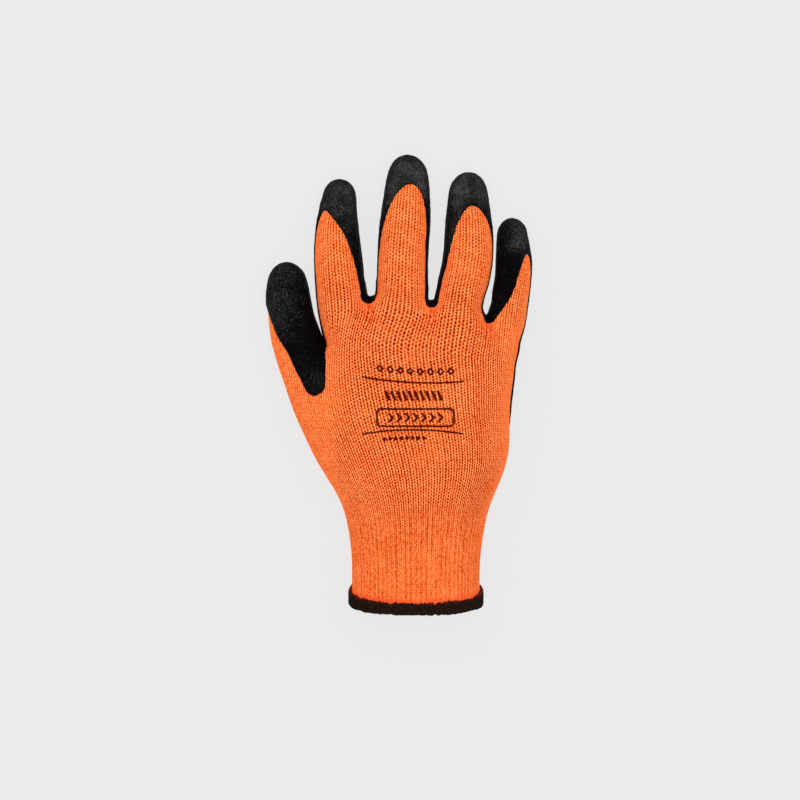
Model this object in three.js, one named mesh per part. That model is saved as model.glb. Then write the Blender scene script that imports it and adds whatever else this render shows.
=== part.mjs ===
// A latex coated grip glove for the right hand, lying palm down as if a hand filled it.
// A seamless thermal knit liner, open at the cuff, carries a latex skin on the palm,
// the fingertips and the sides of the fingers, and an overlocked binding on its edge.
// X runs across the palm away from the thumb, Y along the fingers, Z up.
// The origin is the middle of the flat face on which the palm rests.

import * as THREE from "three";

// Lengths along the glove, in millimetres.
const PALM_LENGTH = 110; // wrist line to the web of the index and middle fingers
const CUFF_LENGTH = 53.6; // wrist line to the end of the binding
const INDEX_LENGTH = 67;
const MIDDLE_LENGTH = 81;
const RING_LENGTH = 77;
const LITTLE_LENGTH = 58.6;
const THUMB_LENGTH = 42; // from the web between thumb and palm

// Sizes across the glove, in millimetres.
const PALM_WIDTH = 108;
const PALM_HEIGHT = 37;
const CUFF_WIDTH = 69;
const CUFF_HEIGHT = 32;
const INDEX_WIDTH = 24;
const MIDDLE_WIDTH = 26.5;
const RING_WIDTH = 25;
const LITTLE_WIDTH = 18.4;
const THUMB_WIDTH = 24;

// Walls and clearances, in millimetres.
const KNIT_WALL = 2;
const COATING_WALL = 0.9;
const BINDING_WALL = 1.5;
const BINDING_DEPTH = 7; // how far the binding reaches up the cuff
const LAYER_GAP = 0.3;

// Colours of the three materials.
const KNIT_COLOUR = 0xf07038;
const COATING_COLOUR = 0x1c1b1c;
const BINDING_COLOUR = 0x20140e;

// Columns of the surface net: one column of the knit net is two wales wide.
const DIGIT_COLUMNS = 16;
const QUARTER = DIGIT_COLUMNS / 4;

// Share of the palm's length that lies between the wrist line and the origin.
const ORIGIN_SHARE = 0.52;
const WRIST_Y = -ORIGIN_SHARE * PALM_LENGTH;
const WEB_Y = WRIST_Y + PALM_LENGTH;

// Height at which the knit lies over the surface, under the coating and under the binding.
const COATED_LIFT = LAYER_GAP + COATING_WALL;
const BOUND_LIFT = LAYER_GAP + BINDING_WALL;

// The flesh line: height of the widest part of the fingers at the webs.
const WEB_HEIGHT = 0.42 * PALM_HEIGHT;

// Webs and outer edges at the finger roots, from the thumb side on.
// side is a share of the palm's width, drop a share of its length below the web line.
const WEBS = [
  { side: -0.492, drop: 0.0 },
  { side: -0.2315, drop: 0.0 },
  { side: 0.0805, drop: 0.015 },
  { side: 0.362, drop: 0.095 },
  { side: 0.556, drop: 0.14 },
];

// Web between thumb and palm, and the outer edge of the thumb's root.
const THUMB_WEB = { side: -0.452, drop: 0.18 };
const THUMB_EDGE = { side: -0.728, drop: 0.185 };
const PALM_EDGE = { side: 0.5, drop: 0.3 };

// Sections of each digit from its root to its tip.
// at: share of the length. side: how far the axis bows, a share of the width.
// wide: share of the width. high: height as a share of the width.
// lift: height of the axis, as a share of the width.
const DIGITS = {
  index: {
    length: INDEX_LENGTH,
    width: INDEX_WIDTH,
    tipSide: -0.378,
    sections: [
      { at: 0.14, side: -0.05, wide: 1.08, high: 0.98, lift: 0.66 },
      { at: 0.39, side: -0.1, wide: 1.0, high: 0.88, lift: 0.68 },
      { at: 0.65, side: -0.1, wide: 0.87, high: 0.78, lift: 0.54 },
      { at: 0.79, side: -0.05, wide: 0.74, high: 0.7, lift: 0.43 },
      { at: 1.0, side: 0.0, wide: 0.62, high: 0.56, lift: 0.32 },
    ],
  },
  middle: {
    length: MIDDLE_LENGTH,
    width: MIDDLE_WIDTH,
    tipSide: -0.031,
    sections: [
      { at: 0.12, side: 0.015, wide: 0.99, high: 0.94, lift: 0.62 },
      { at: 0.34, side: -0.01, wide: 0.97, high: 0.84, lift: 0.66 },
      { at: 0.55, side: 0.01, wide: 0.95, high: 0.78, lift: 0.57 },
      { at: 0.77, side: 0.01, wide: 0.85, high: 0.68, lift: 0.41 },
      { at: 0.88, side: 0.0, wide: 0.76, high: 0.6, lift: 0.34 },
      { at: 1.0, side: 0.0, wide: 0.72, high: 0.54, lift: 0.28 },
    ],
  },
  ring: {
    length: RING_LENGTH,
    width: RING_WIDTH,
    tipSide: 0.267,
    sections: [
      { at: 0.15, side: 0.03, wide: 1.0, high: 0.96, lift: 0.64 },
      { at: 0.37, side: 0.125, wide: 1.02, high: 0.86, lift: 0.66 },
      { at: 0.55, side: 0.11, wide: 0.99, high: 0.8, lift: 0.57 },
      { at: 0.74, side: 0.06, wide: 0.86, high: 0.71, lift: 0.44 },
      { at: 0.87, side: 0.04, wide: 0.77, high: 0.62, lift: 0.35 },
      { at: 1.0, side: 0.0, wide: 0.64, high: 0.54, lift: 0.3 },
    ],
  },
  little: {
    length: LITTLE_LENGTH,
    width: LITTLE_WIDTH,
    tipSide: 0.488,
    sections: [
      { at: 0.18, side: 0.03, wide: 1.05, high: 1.06, lift: 0.74 },
      { at: 0.4, side: 0.15, wide: 0.99, high: 0.96, lift: 0.74 },
      { at: 0.6, side: 0.14, wide: 0.97, high: 0.88, lift: 0.62 },
      { at: 0.78, side: 0.08, wide: 0.88, high: 0.78, lift: 0.48 },
      { at: 1.0, side: 0.0, wide: 0.68, high: 0.62, lift: 0.36 },
    ],
  },
  thumb: {
    length: THUMB_LENGTH,
    width: THUMB_WIDTH,
    tipSide: -0.653,
    sections: [
      { at: 0.1, side: -0.08, wide: 1.03, high: 0.98, lift: 0.52 },
      { at: 0.3, side: -0.1, wide: 0.97, high: 0.92, lift: 0.5 },
      { at: 0.55, side: -0.07, wide: 0.93, high: 0.84, lift: 0.46 },
      { at: 0.75, side: -0.04, wide: 0.84, high: 0.74, lift: 0.41 },
      { at: 1.0, side: 0.0, wide: 0.72, high: 0.64, lift: 0.36 },
    ],
  },
};

// Reach of the bare knit around each digit, in degrees from the top of its section:
// at is the share of the length, inner the limit toward the thumb, outer the other limit.
const BARE = {
  index: [
    { at: 0.0, inner: -94, outer: 58 },
    { at: 0.25, inner: -93, outer: 50 },
    { at: 0.45, inner: -90, outer: 32 },
    { at: 0.6, inner: -86, outer: 8 },
    { at: 0.68, inner: -72, outer: -16 },
    { at: 0.74, inner: -44, outer: -44 },
    { at: 1.0, inner: 40, outer: -130 },
  ],
  middle: [
    { at: 0.0, inner: -92, outer: 78 },
    { at: 0.35, inner: -88, outer: 70 },
    { at: 0.55, inner: -60, outer: 62 },
    { at: 0.68, inner: -37, outer: 55 },
    { at: 0.75, inner: -19, outer: 41 },
    { at: 0.785, inner: -2, outer: 27 },
    { at: 0.8, inner: 13, outer: 13 },
    { at: 1.0, inner: 90, outer: -90 },
  ],
  ring: [
    { at: 0.0, inner: -60, outer: 93 },
    { at: 0.3, inner: -54, outer: 92 },
    { at: 0.5, inner: -44, outer: 93 },
    { at: 0.62, inner: -30, outer: 66 },
    { at: 0.71, inner: -14, outer: 38 },
    { at: 0.77, inner: 8, outer: 8 },
    { at: 1.0, inner: 90, outer: -80 },
  ],
  little: [
    { at: 0.0, inner: -40, outer: 96 },
    { at: 0.2, inner: -7, outer: 95 },
    { at: 0.45, inner: 11, outer: 92 },
    { at: 0.58, inner: 21, outer: 95 },
    { at: 0.66, inner: 30, outer: 80 },
    { at: 0.71, inner: 54, outer: 54 },
    { at: 1.0, inner: 130, outer: -40 },
  ],
  thumb: [
    { at: 0.0, inner: -128, outer: -34 },
    { at: 0.15, inner: -124, outer: -42 },
    { at: 0.33, inner: -112, outer: -56 },
    { at: 0.56, inner: -88, outer: -88 },
    { at: 1.0, inner: 20, outer: -200 },
  ],
};

// Rows of the palm between the webs and the thumb's web: at is the share of that
// way, settle how far the ridges of the fingers have faded.
const KNUCKLE_ROWS = [
  { at: 0.36, settle: 0.34, high: 0.84 },
  { at: 0.68, settle: 0.6, high: 0.88 },
  { at: 1.0, settle: 0.8, high: 0.92 },
];

// Rows from the thumb's web to the wrist. at: share of the palm's length above the
// wrist line. left and right: edges as shares of its width. high: share of its height.
// lean: how much lower the thumb's side lies. settle: how far the thumb's ridge has faded.
const PALM_ROWS = [
  { at: 0.75, left: -0.71, right: 0.494, high: 0.95, lean: 0.34, settle: 0.3 },
  { at: 0.67, left: -0.684, right: 0.486, high: 0.98, lean: 0.33, settle: 0.54 },
  { at: 0.58, left: -0.652, right: 0.472, high: 1.0, lean: 0.29, settle: 0.76 },
  { at: 0.49, left: -0.62, right: 0.468, high: 1.0, lean: 0.25, settle: 0.9 },
  { at: 0.4, left: -0.584, right: 0.468, high: 1.0, lean: 0.2, settle: 1 },
  { at: 0.3, left: -0.536, right: 0.468, high: 0.99, lean: 0.16, settle: 1 },
  { at: 0.2, left: -0.482, right: 0.458, high: 0.97, lean: 0.11, settle: 1 },
  { at: 0.1, left: -0.42, right: 0.42, high: 0.94, lean: 0.06, settle: 1 },
  { at: 0.01, left: -0.366, right: 0.373, high: 0.91, lean: 0.03, settle: 1 },
];

// Rows of the cuff. at: share of its length from the wrist line. left and right: edges
// as shares of its width. high: share of its height. slant: how far the row follows
// the slant of the opening.
const CUFF_ROWS = [
  { at: 0.2, left: -0.525, right: 0.543, high: 1.04, slant: 0.25 },
  { at: 0.42, left: -0.504, right: 0.52, high: 1.01, slant: 0.55 },
  { at: 0.65, left: -0.49, right: 0.506, high: 0.99, slant: 0.85 },
];
const OPENING = { left: -0.497, right: 0.51, high: 1.02 };

// How far the back of the opening reaches beyond its sides, a share of the cuff's height,
// and how many times that the upper edge of the binding does.
const OPENING_SLANT = 0.12;
const BOUND_SLANT = 1.45;

// Lower end of the coating on the palm side, in shares of the palm's length above the
// wrist line: rows go from the thumb's edge (side -1) to the other edge (side 1).
const HEEL_LINE = [
  { side: -1, at: 0.5 },
  { side: -0.8, at: 0.34 },
  { side: -0.4, at: 0.2 },
  { side: 0.2, at: 0.15 },
  { side: 0.7, at: 0.2 },
  { side: 1, at: 0.38 },
];

// Tongue of coating that runs from the thumb's web over the back of the palm.
// at: share of the palm's length above the wrist line, middle and half in shares of its width.
const TONGUE = [
  { at: 0.87, middle: -0.568, half: 0.113 },
  { at: 0.778, middle: -0.551, half: 0.097 },
  { at: 0.684, middle: -0.526, half: 0.078 },
  { at: 0.605, middle: -0.506, half: 0.058 },
  { at: 0.541, middle: -0.504, half: 0 },
  { at: 0.3, middle: -0.5, half: -0.14 },
];

// Reach of the bare back round the palm's edges, in degrees from the top of its section.
const EDGE_REACH = 87;
const THUMB_SIDE = [
  { at: 0.82, reach: 98 },
  { at: 0.6, reach: 106 },
  { at: 0.4, reach: 122 },
];

// How fast the bareness changes across the heel line and the tongue, in degrees per
// share of the palm's length and per millimetre.
const HEEL_STEEPNESS = 160;
const TONGUE_STEEPNESS = 3;

// A smooth step from 0 to 1.
function ease(value) {
  const t = Math.min(1, Math.max(0, value));
  return t * t * (3 - 2 * t);
}

// Value between two numbers.
function mix(from, to, share) {
  return from + (to - from) * share;
}

// Reads one column of a table at a key, along straight lines or a smooth curve.
function read(table, key, column, value, smooth = false) {
  const rising = table[table.length - 1][key] >= table[0][key];
  const rows = rising ? table : [...table].reverse();
  const last = rows.length - 1;
  if (value <= rows[0][key]) return rows[0][column];
  if (value >= rows[last][key]) return rows[last][column];
  let i = 1;
  while (value > rows[i][key]) i += 1;
  const from = rows[i - 1];
  const to = rows[i];
  const span = to[key] - from[key];
  const t = (value - from[key]) / span;
  if (!smooth) return mix(from[column], to[column], t);
  const slope = (a, b) => (b[column] - a[column]) / (b[key] - a[key]);
  const start = slope(i > 1 ? rows[i - 2] : from, to) * span;
  const end = slope(from, i < last ? rows[i + 1] : to) * span;
  const rise = to[column] - from[column];
  return from[column] + t * start + t * t * (3 * rise - 2 * start - end) + t ** 3 * (start + end - 2 * rise);
}

// Raises a number to a power and keeps its sign.
function signedPower(value, power) {
  return Math.sign(value) * Math.abs(value) ** power;
}

// The net of four-sided faces that carries every layer of the glove.
// bare is positive where the knit shows and negative under the coating.
class Net {
  constructor() {
    this.points = [];
    this.bare = [];
    this.lifts = [];
    this.faces = [];
  }

  add(point, bare, lift = COATED_LIFT) {
    this.points.push(point);
    this.bare.push(bare);
    this.lifts.push(lift);
    return this.points.length - 1;
  }

  // Faces between a ring and the next one further along the digits.
  join(lower, upper) {
    const count = lower.length;
    for (let k = 0; k < count; k += 1) {
      const next = (k + 1) % count;
      this.faces.push([lower[k], lower[next], upper[next], upper[k]]);
    }
  }

  // Moves every point to the smooth surface that the net encloses, then lays flat
  // what rests on the surface.
  soften() {
    const around = this.points.map(() => ({ edges: new Set(), sum: new THREE.Vector3(), faces: 0 }));
    for (const face of this.faces) {
      face.forEach((id, i) => {
        around[id].edges.add(face[(i + 1) % 4]);
        around[id].edges.add(face[(i + 3) % 4]);
        around[id].sum.add(this.points[face[(i + 2) % 4]]);
        around[id].faces += 1;
      });
    }
    this.points = this.points.map((point, id) => {
      const { edges, sum, faces } = around[id];
      const count = edges.size;
      if (faces !== count) return point.clone();
      const soft = point.clone().multiplyScalar(count * count).add(sum);
      for (const other of edges) soft.addScaledVector(this.points[other], 4);
      return soft.divideScalar(count * (count + 5));
    });
    this.points.forEach((point, id) => {
      point.z = Math.max(point.z, this.lifts[id]);
    });
  }

  // Outward direction at every point.
  normals() {
    const out = this.points.map(() => new THREE.Vector3());
    const first = new THREE.Vector3();
    const second = new THREE.Vector3();
    for (const face of this.faces) {
      face.forEach((id, i) => {
        first.subVectors(this.points[face[(i + 1) % 4]], this.points[id]).normalize();
        second.subVectors(this.points[face[(i + 3) % 4]], this.points[id]).normalize();
        out[id].add(first.clone().cross(second));
      });
    }
    return out.map((normal) => normal.normalize());
  }
}

// Angle of a digit's column from the top of the section, in degrees: the first column
// is on the thumb's side.
function columnAngle(column) {
  const angle = (column - QUARTER) * (360 / DIGIT_COLUMNS);
  return angle > 180 ? angle - 360 : angle;
}

// How bare a digit is at a share of its length and at an angle.
function digitBare(name, at, angle) {
  const inner = read(BARE[name], "at", "inner", at);
  const outer = read(BARE[name], "at", "outer", at);
  return Math.min(angle - inner, outer - angle);
}

// The axis of a digit, with its width and height there.
function digitSection(digit, root, at) {
  const table = digit.sections;
  const start = { at: 0, side: 0, wide: root.wide / digit.width, high: root.high / digit.width };
  const rows = [{ ...start, lift: root.centre.z / digit.width }, ...table];
  const centre = new THREE.Vector3(
    mix(root.centre.x, digit.tipSide * PALM_WIDTH, at) + read(rows, "at", "side", at, true) * digit.width,
    root.centre.y + at * digit.length,
    read(rows, "at", "lift", at, true) * digit.width,
  );
  return {
    centre,
    wide: read(rows, "at", "wide", at, true) * digit.width,
    high: read(rows, "at", "high", at, true) * digit.width,
  };
}

// Ring spacing along a digit, and the angles of the rings on its rounded end.
const RING_PITCH = 9.5;
const END_RINGS = [0, 32, 58];
const END_INNER = 76;
const CAP_GROWTH = 1.026; // the net stands this much proud of the smooth surface

// Builds one digit on its root ring and returns nothing: its faces join the net.
function addDigit(net, name, root) {
  const digit = DIGITS[name];
  const tipRadius = (read(digit.sections, "at", "wide", 1) * digit.width) / 2;
  const endShare = (tipRadius * 1.04) / digit.length;
  const straight = 1 - endShare;
  const steps = Math.max(2, Math.round((straight * digit.length) / RING_PITCH));
  const stations = [];
  for (let i = 1; i < steps; i += 1) stations.push({ at: (straight * i) / steps, scale: 1 });
  for (const angle of END_RINGS) {
    const turn = (angle * Math.PI) / 180;
    stations.push({ at: straight + endShare * Math.sin(turn), scale: Math.cos(turn) });
  }
  const place = (at, scale, across, up, bare) => {
    const here = digitSection(digit, root, at);
    const ahead = digitSection(digit, root, Math.min(1, at + 0.02)).centre;
    const behind = digitSection(digit, root, Math.max(0, Math.min(1, at + 0.02) - 0.04)).centre;
    const along = ahead.sub(behind).normalize();
    const side = along.clone().cross(new THREE.Vector3(0, 0, 1)).normalize();
    const top = side.clone().cross(along);
    const point = here.centre
      .clone()
      .addScaledVector(side, (across * scale * CAP_GROWTH * here.wide) / 2)
      .addScaledVector(top, (up * scale * CAP_GROWTH * here.high) / 2);
    point.y += root.slant * (point.x - here.centre.x) * (1 - ease(at / 0.35));
    return net.add(point, bare);
  };
  let last = root.ring;
  for (const { at, scale } of stations) {
    const ring = [];
    for (let k = 0; k < DIGIT_COLUMNS; k += 1) {
      const turn = (k * 2 * Math.PI) / DIGIT_COLUMNS;
      const across = -signedPower(Math.cos(turn), 0.9);
      const up = signedPower(Math.sin(turn), 0.9);
      ring.push(place(at, scale, across, up, digitBare(name, at, columnAngle(k))));
    }
    net.join(last, ring);
    last = ring;
  }
  addEnd(net, last, (across, up, angle) => {
    const turn = (angle * Math.PI) / 180;
    return place(straight + endShare * Math.sin(turn), Math.cos(turn), across, up, -90);
  });
}

// Closes the last ring of a digit with a patch of four by four faces.
function addEnd(net, ring, place) {
  const grid = [];
  const half = QUARTER / 2;
  for (let row = 0; row <= QUARTER; row += 1) {
    grid.push([]);
    for (let column = 0; column <= QUARTER; column += 1) {
      const across = (column - half) / half;
      const up = (row - half) / half;
      let id;
      if (row === QUARTER) id = ring[half + column];
      else if (row === 0) id = ring[(DIGIT_COLUMNS - half - column) % DIGIT_COLUMNS];
      else if (column === 0) id = ring[(DIGIT_COLUMNS + half - (QUARTER - row)) % DIGIT_COLUMNS];
      else if (column === QUARTER) id = ring[half + QUARTER + (QUARTER - row)];
      else {
        const reach = Math.hypot(across, up);
        const angle = reach === 0 ? 90 : END_INNER;
        const size = reach === 0 ? 1 : reach;
        id = place(across / size, up / size, angle);
      }
      grid[row].push(id);
    }
  }
  for (let row = 0; row < QUARTER; row += 1) {
    for (let column = 0; column < QUARTER; column += 1) {
      net.faces.push([
        grid[row][column],
        grid[row + 1][column],
        grid[row + 1][column + 1],
        grid[row][column + 1],
      ]);
    }
  }
}

// A point between two digits: height is measured from the flesh line, back is positive
// toward the wrist.
function webPoint(net, web, back, height, bare, line = WEB_HEIGHT) {
  const point = new THREE.Vector3(
    web.side * PALM_WIDTH,
    WEB_Y - web.drop * PALM_LENGTH - back,
    line + height,
  );
  return net.add(point, bare);
}

// Depth and height of the folds beside each web, as shares of the palm's height.
const WEB_BACK = 0.13 * PALM_HEIGHT;
const WEB_FOLD = 0.16 * PALM_HEIGHT;
const THUMB_LINE = 0.34 * PALM_HEIGHT;

// Height of the finger roots as a share of the palm's height.
const ROOT_HIGH = 0.72 * PALM_HEIGHT;

// Root rings of the four fingers: neighbours share three points at each web.
function fingerRoots(net) {
  const shared = WEBS.slice(1, -1).map((web) => ({
    upper: webPoint(net, web, WEB_BACK, WEB_FOLD, 4),
    middle: webPoint(net, web, 0, 0, -14),
    lower: webPoint(net, web, WEB_BACK, -WEB_FOLD, -40),
  }));
  return ["index", "middle", "ring", "little"].map((name, i) => {
    const near = WEBS[i];
    const far = WEBS[i + 1];
    const wide = (far.side - near.side) * PALM_WIDTH;
    const slant = (-(far.drop - near.drop) * PALM_LENGTH) / wide;
    const centre = new THREE.Vector3(
      ((near.side + far.side) / 2) * PALM_WIDTH,
      WEB_Y - ((near.drop + far.drop) / 2) * PALM_LENGTH,
      WEB_HEIGHT,
    );
    const ring = [];
    for (let k = 0; k < DIGIT_COLUMNS; k += 1) {
      const turn = (k * 2 * Math.PI) / DIGIT_COLUMNS;
      const across = -signedPower(Math.cos(turn), 0.9) * (wide / 2);
      const up = signedPower(Math.sin(turn), 0.9) * (ROOT_HIGH / 2);
      const before = i > 0 ? shared[i - 1] : null;
      const after = i < shared.length ? shared[i] : null;
      if (before && k === 1) ring.push(before.upper);
      else if (before && k === 0) ring.push(before.middle);
      else if (before && k === DIGIT_COLUMNS - 1) ring.push(before.lower);
      else if (after && k === 2 * QUARTER - 1) ring.push(after.upper);
      else if (after && k === 2 * QUARTER) ring.push(after.middle);
      else if (after && k === 2 * QUARTER + 1) ring.push(after.lower);
      else {
        const point = new THREE.Vector3(centre.x + across, centre.y + slant * across, centre.z + up);
        point.y -= (Math.abs(up) / ROOT_HIGH) * 2 * WEB_BACK;
        ring.push(net.add(point, digitBare(name, 0, columnAngle(k))));
      }
    }
    return { name, ring, centre, slant, wide, high: ROOT_HIGH };
  });
}

// The closed ring of the palm under the four finger roots.
function palmRing(roots) {
  const half = 2 * QUARTER;
  const [index, middle, ring, little] = roots.map((root) => root.ring);
  return [
    ...index.slice(0, half),
    ...middle.slice(2, half),
    ...ring.slice(2, half),
    ...little.slice(2, half + 1),
    ...little.slice(half + 1),
    ...ring.slice(half + 2),
    ...middle.slice(half + 2),
    ...index.slice(half + 2),
  ];
}

// Across-share of each point in a ring, and its height as a share of the ring's.
function profileOf(net, ring) {
  const points = ring.map((id) => net.points[id]);
  const half = ring.length / 2;
  const left = points[0].x;
  const right = points[half].x;
  return points.map((point) => ({
    across: Math.min(1, Math.max(0, (point.x - left) / (right - left))),
    height: point.z,
    y: point.y,
  }));
}

// Height of the palm's section over the surface at a share across it.
function sectionHeight(across, isTop, row) {
  const reach = Math.abs(2 * across - 1);
  const line = 0.44 * row.high;
  const power = isTop ? 2.3 : 3;
  const curve = (1 - reach ** power) ** (1 / power);
  const sunk = 0.05 * row.high;
  const height = isTop ? line + (row.high - line) * curve : line - (line + sunk) * curve;
  return row.lift + height * (1 - row.lean * (1 - across) ** 2);
}

// How bare the palm is at an angle from the top of its section and at a share across it.
function palmBare(angle, across, x, y, hasThumb) {
  const at = (y - WRIST_Y) / PALM_LENGTH;
  const below = (read(HEEL_LINE, "side", "at", 2 * across - 1, true) - at) * HEEL_STEEPNESS;
  const near = hasThumb ? read(THUMB_SIDE, "at", "reach", at) : EDGE_REACH;
  let bare = Math.min(angle + near, EDGE_REACH - angle);
  if (hasThumb && Math.abs(angle) < 90) {
    const middle = read(TONGUE, "at", "middle", at) * PALM_WIDTH;
    const half = read(TONGUE, "at", "half", at) * PALM_WIDTH;
    bare = Math.min(bare, (Math.abs(x - middle) - half) * TONGUE_STEEPNESS);
  }
  return Math.abs(angle) < 90 ? bare : Math.max(bare, below);
}

// Adds one row below a ring, shaped between the ring's own ridges and a plain section.
function addRow(net, upper, profile, row) {
  const count = profile.length;
  const half = count / 2;
  const ids = profile.map((entry, j) => {
    const isTop = j <= half;
    const turn = (Math.PI * (isTop ? j : count - j)) / half;
    const even = (1 - Math.cos(turn)) / 2;
    const across = mix(entry.across, even, row.settle);
    const x = mix(row.left, row.right, across);
    const plain = sectionHeight(across, isTop, row);
    const ridged = entry.height * mix(1, row.high / row.ridgeHigh, isTop ? 1 : 0);
    const z = mix(ridged, plain, row.settle);
    const y = row.y(across, entry) - row.slant * (z / row.high - 0.5);
    const angle = (isTop ? turn : 2 * Math.PI - turn) * (180 / Math.PI) - 90;
    const signed = angle > 180 ? angle - 360 : angle;
    const bare = row.plainKnit ? 60 : palmBare(signed, across, x, y, row.hasThumb);
    return net.add(new THREE.Vector3(x, y, z), bare, row.lift);
  });
  net.join(ids, upper);
  return ids;
}

// Builds the whole net from the fingertips to the opening of the cuff.
function buildNet() {
  const net = new Net();
  const roots = fingerRoots(net);
  for (const root of roots) addDigit(net, root.name, root);

  // The knuckles, down to the web of the thumb.
  let ring = palmRing(roots);
  const fingers = profileOf(net, ring);
  const thumbWebY = WEB_Y - THUMB_WEB.drop * PALM_LENGTH;
  const palmEdgeY = WEB_Y - PALM_EDGE.drop * PALM_LENGTH;
  const webLine = WEBS.map((web) => ({
    side: (web.side - WEBS[0].side) / (WEBS[WEBS.length - 1].side - WEBS[0].side),
    y: WEB_Y - web.drop * PALM_LENGTH - WEB_BACK,
  }));
  const ridgeHigh = WEB_HEIGHT + ROOT_HIGH / 2;
  for (const { at, settle, high } of KNUCKLE_ROWS) {
    ring = addRow(net, ring, fingers, {
      settle,
      ridgeHigh,
      high: high * PALM_HEIGHT,
      left: mix(WEBS[0].side, THUMB_WEB.side, at) * PALM_WIDTH,
      right: mix(WEBS[WEBS.length - 1].side, PALM_EDGE.side, at) * PALM_WIDTH,
      y: (across) => mix(read(webLine, "side", "y", across, true), mix(thumbWebY, palmEdgeY, across), at),
      slant: 0,
      lean: 0.12,
      lift: COATED_LIFT,
      hasThumb: false,
    });
  }

  // The thumb shares three points of the palm at its web.
  const thumbCentre = new THREE.Vector3(
    ((THUMB_EDGE.side + THUMB_WEB.side) / 2) * PALM_WIDTH,
    WEB_Y - THUMB_EDGE.drop * PALM_LENGTH,
    THUMB_LINE,
  );
  const thumbWide = (THUMB_WEB.side - THUMB_EDGE.side) * PALM_WIDTH;
  const thumbHigh = THUMB_WIDTH * 1.02;
  const last = ring.length - 1;
  const webBack = [WEB_BACK, 0, WEB_BACK];
  const webRise = [WEB_FOLD, 0, -WEB_FOLD];
  [ring[1], ring[0], ring[last]].forEach((id, i) => {
    net.points[id].set(THUMB_WEB.side * PALM_WIDTH, thumbWebY - webBack[i], THUMB_LINE + webRise[i]);
    net.bare[id] = -30;
  });
  const thumbRing = [];
  for (let k = 0; k < DIGIT_COLUMNS; k += 1) {
    const turn = (k * 2 * Math.PI) / DIGIT_COLUMNS;
    if (k === 2 * QUARTER - 1) thumbRing.push(ring[1]);
    else if (k === 2 * QUARTER) thumbRing.push(ring[0]);
    else if (k === 2 * QUARTER + 1) thumbRing.push(ring[last]);
    else {
      const across = -signedPower(Math.cos(turn), 0.9) * (thumbWide / 2);
      const up = signedPower(Math.sin(turn), 0.9) * (thumbHigh / 2);
      const point = new THREE.Vector3(thumbCentre.x + across, thumbCentre.y, thumbCentre.z + up);
      point.y -= (Math.abs(up) / thumbHigh) * WEB_BACK;
      thumbRing.push(net.add(point, digitBare("thumb", 0, columnAngle(k))));
    }
  }
  addDigit(net, "thumb", {
    ring: thumbRing,
    centre: thumbCentre,
    slant: 0,
    wide: thumbWide,
    high: thumbHigh,
  });

  // Thumb and palm together, down to the wrist.
  ring = [
    ...thumbRing.slice(0, 2 * QUARTER),
    ...ring.slice(2, last),
    ...thumbRing.slice(2 * QUARTER + 1),
  ];
  const hand = profileOf(net, ring);
  for (const spec of PALM_ROWS) {
    const y = WRIST_Y + spec.at * PALM_LENGTH;
    const along = (thumbWebY - y) / (thumbWebY - WRIST_Y);
    ring = addRow(net, ring, hand, {
      settle: spec.settle,
      ridgeHigh: KNUCKLE_ROWS[KNUCKLE_ROWS.length - 1].high * PALM_HEIGHT,
      high: spec.high * PALM_HEIGHT,
      left: spec.left * PALM_WIDTH,
      right: spec.right * PALM_WIDTH,
      y: (across) => y - (thumbWebY - palmEdgeY) * across * (1 - ease(along / 0.7)),
      slant: 0,
      lean: spec.lean,
      lift: COATED_LIFT,
      hasThumb: true,
    });
  }

  // The cuff, down to the binding and to the edge inside it.
  const cuffRow = (y, spec, plainKnit) => {
    ring = addRow(net, ring, hand, {
      settle: 1,
      ridgeHigh: CUFF_HEIGHT,
      high: spec.high * CUFF_HEIGHT,
      left: spec.left * CUFF_WIDTH,
      right: spec.right * CUFF_WIDTH,
      y: () => y,
      slant: 2 * spec.slant * OPENING_SLANT * CUFF_HEIGHT,
      lean: 0,
      lift: mix(COATED_LIFT, BOUND_LIFT, ease(spec.slant)),
      plainKnit,
    });
    return ring;
  };
  for (const spec of CUFF_ROWS) cuffRow(WRIST_Y - spec.at * CUFF_LENGTH, spec, true);
  const endY = WRIST_Y - CUFF_LENGTH;
  const bound = cuffRow(endY + BINDING_DEPTH, { ...OPENING, slant: BOUND_SLANT }, true);
  const edge = cuffRow(endY + BOUND_LIFT, { ...OPENING, slant: 1 }, true);
  return { net, bound, edge };
}

// A layer's surface: the net's points moved out along its directions.
function offset(net, normals, distance) {
  return net.points.map((point, id) => point.clone().addScaledVector(normals[id], distance));
}

// Collects triangles for one mesh.
class Shell {
  constructor() {
    this.positions = [];
  }

  triangle(a, b, c) {
    for (const point of [a, b, c]) this.positions.push(point.x, point.y, point.z);
  }

  quad(a, b, c, d) {
    this.triangle(a, b, c);
    this.triangle(a, c, d);
  }

  mesh(name, colour, roughness) {
    const geometry = new THREE.BufferGeometry();
    geometry.setAttribute("position", new THREE.Float32BufferAttribute(this.positions, 3));
    geometry.computeVertexNormals();
    const material = new THREE.MeshStandardMaterial({ color: colour, roughness, metalness: 0 });
    const mesh = new THREE.Mesh(geometry, material);
    mesh.name = name;
    return mesh;
  }
}

// The knit liner: the net is its outside, and the inside lies one wall deeper.
function knitLiner(net, normals, edge) {
  const shell = new Shell();
  const outside = net.points;
  const inside = offset(net, normals, -KNIT_WALL);
  for (const [a, b, c, d] of net.faces) {
    shell.quad(outside[a], outside[b], outside[c], outside[d]);
    shell.quad(inside[d], inside[c], inside[b], inside[a]);
  }
  edge.forEach((id, j) => {
    const next = edge[(j + 1) % edge.length];
    shell.quad(inside[id], inside[next], outside[next], outside[id]);
  });
  return shell.mesh("knit_liner", KNIT_COLOUR, 0.85);
}

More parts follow.
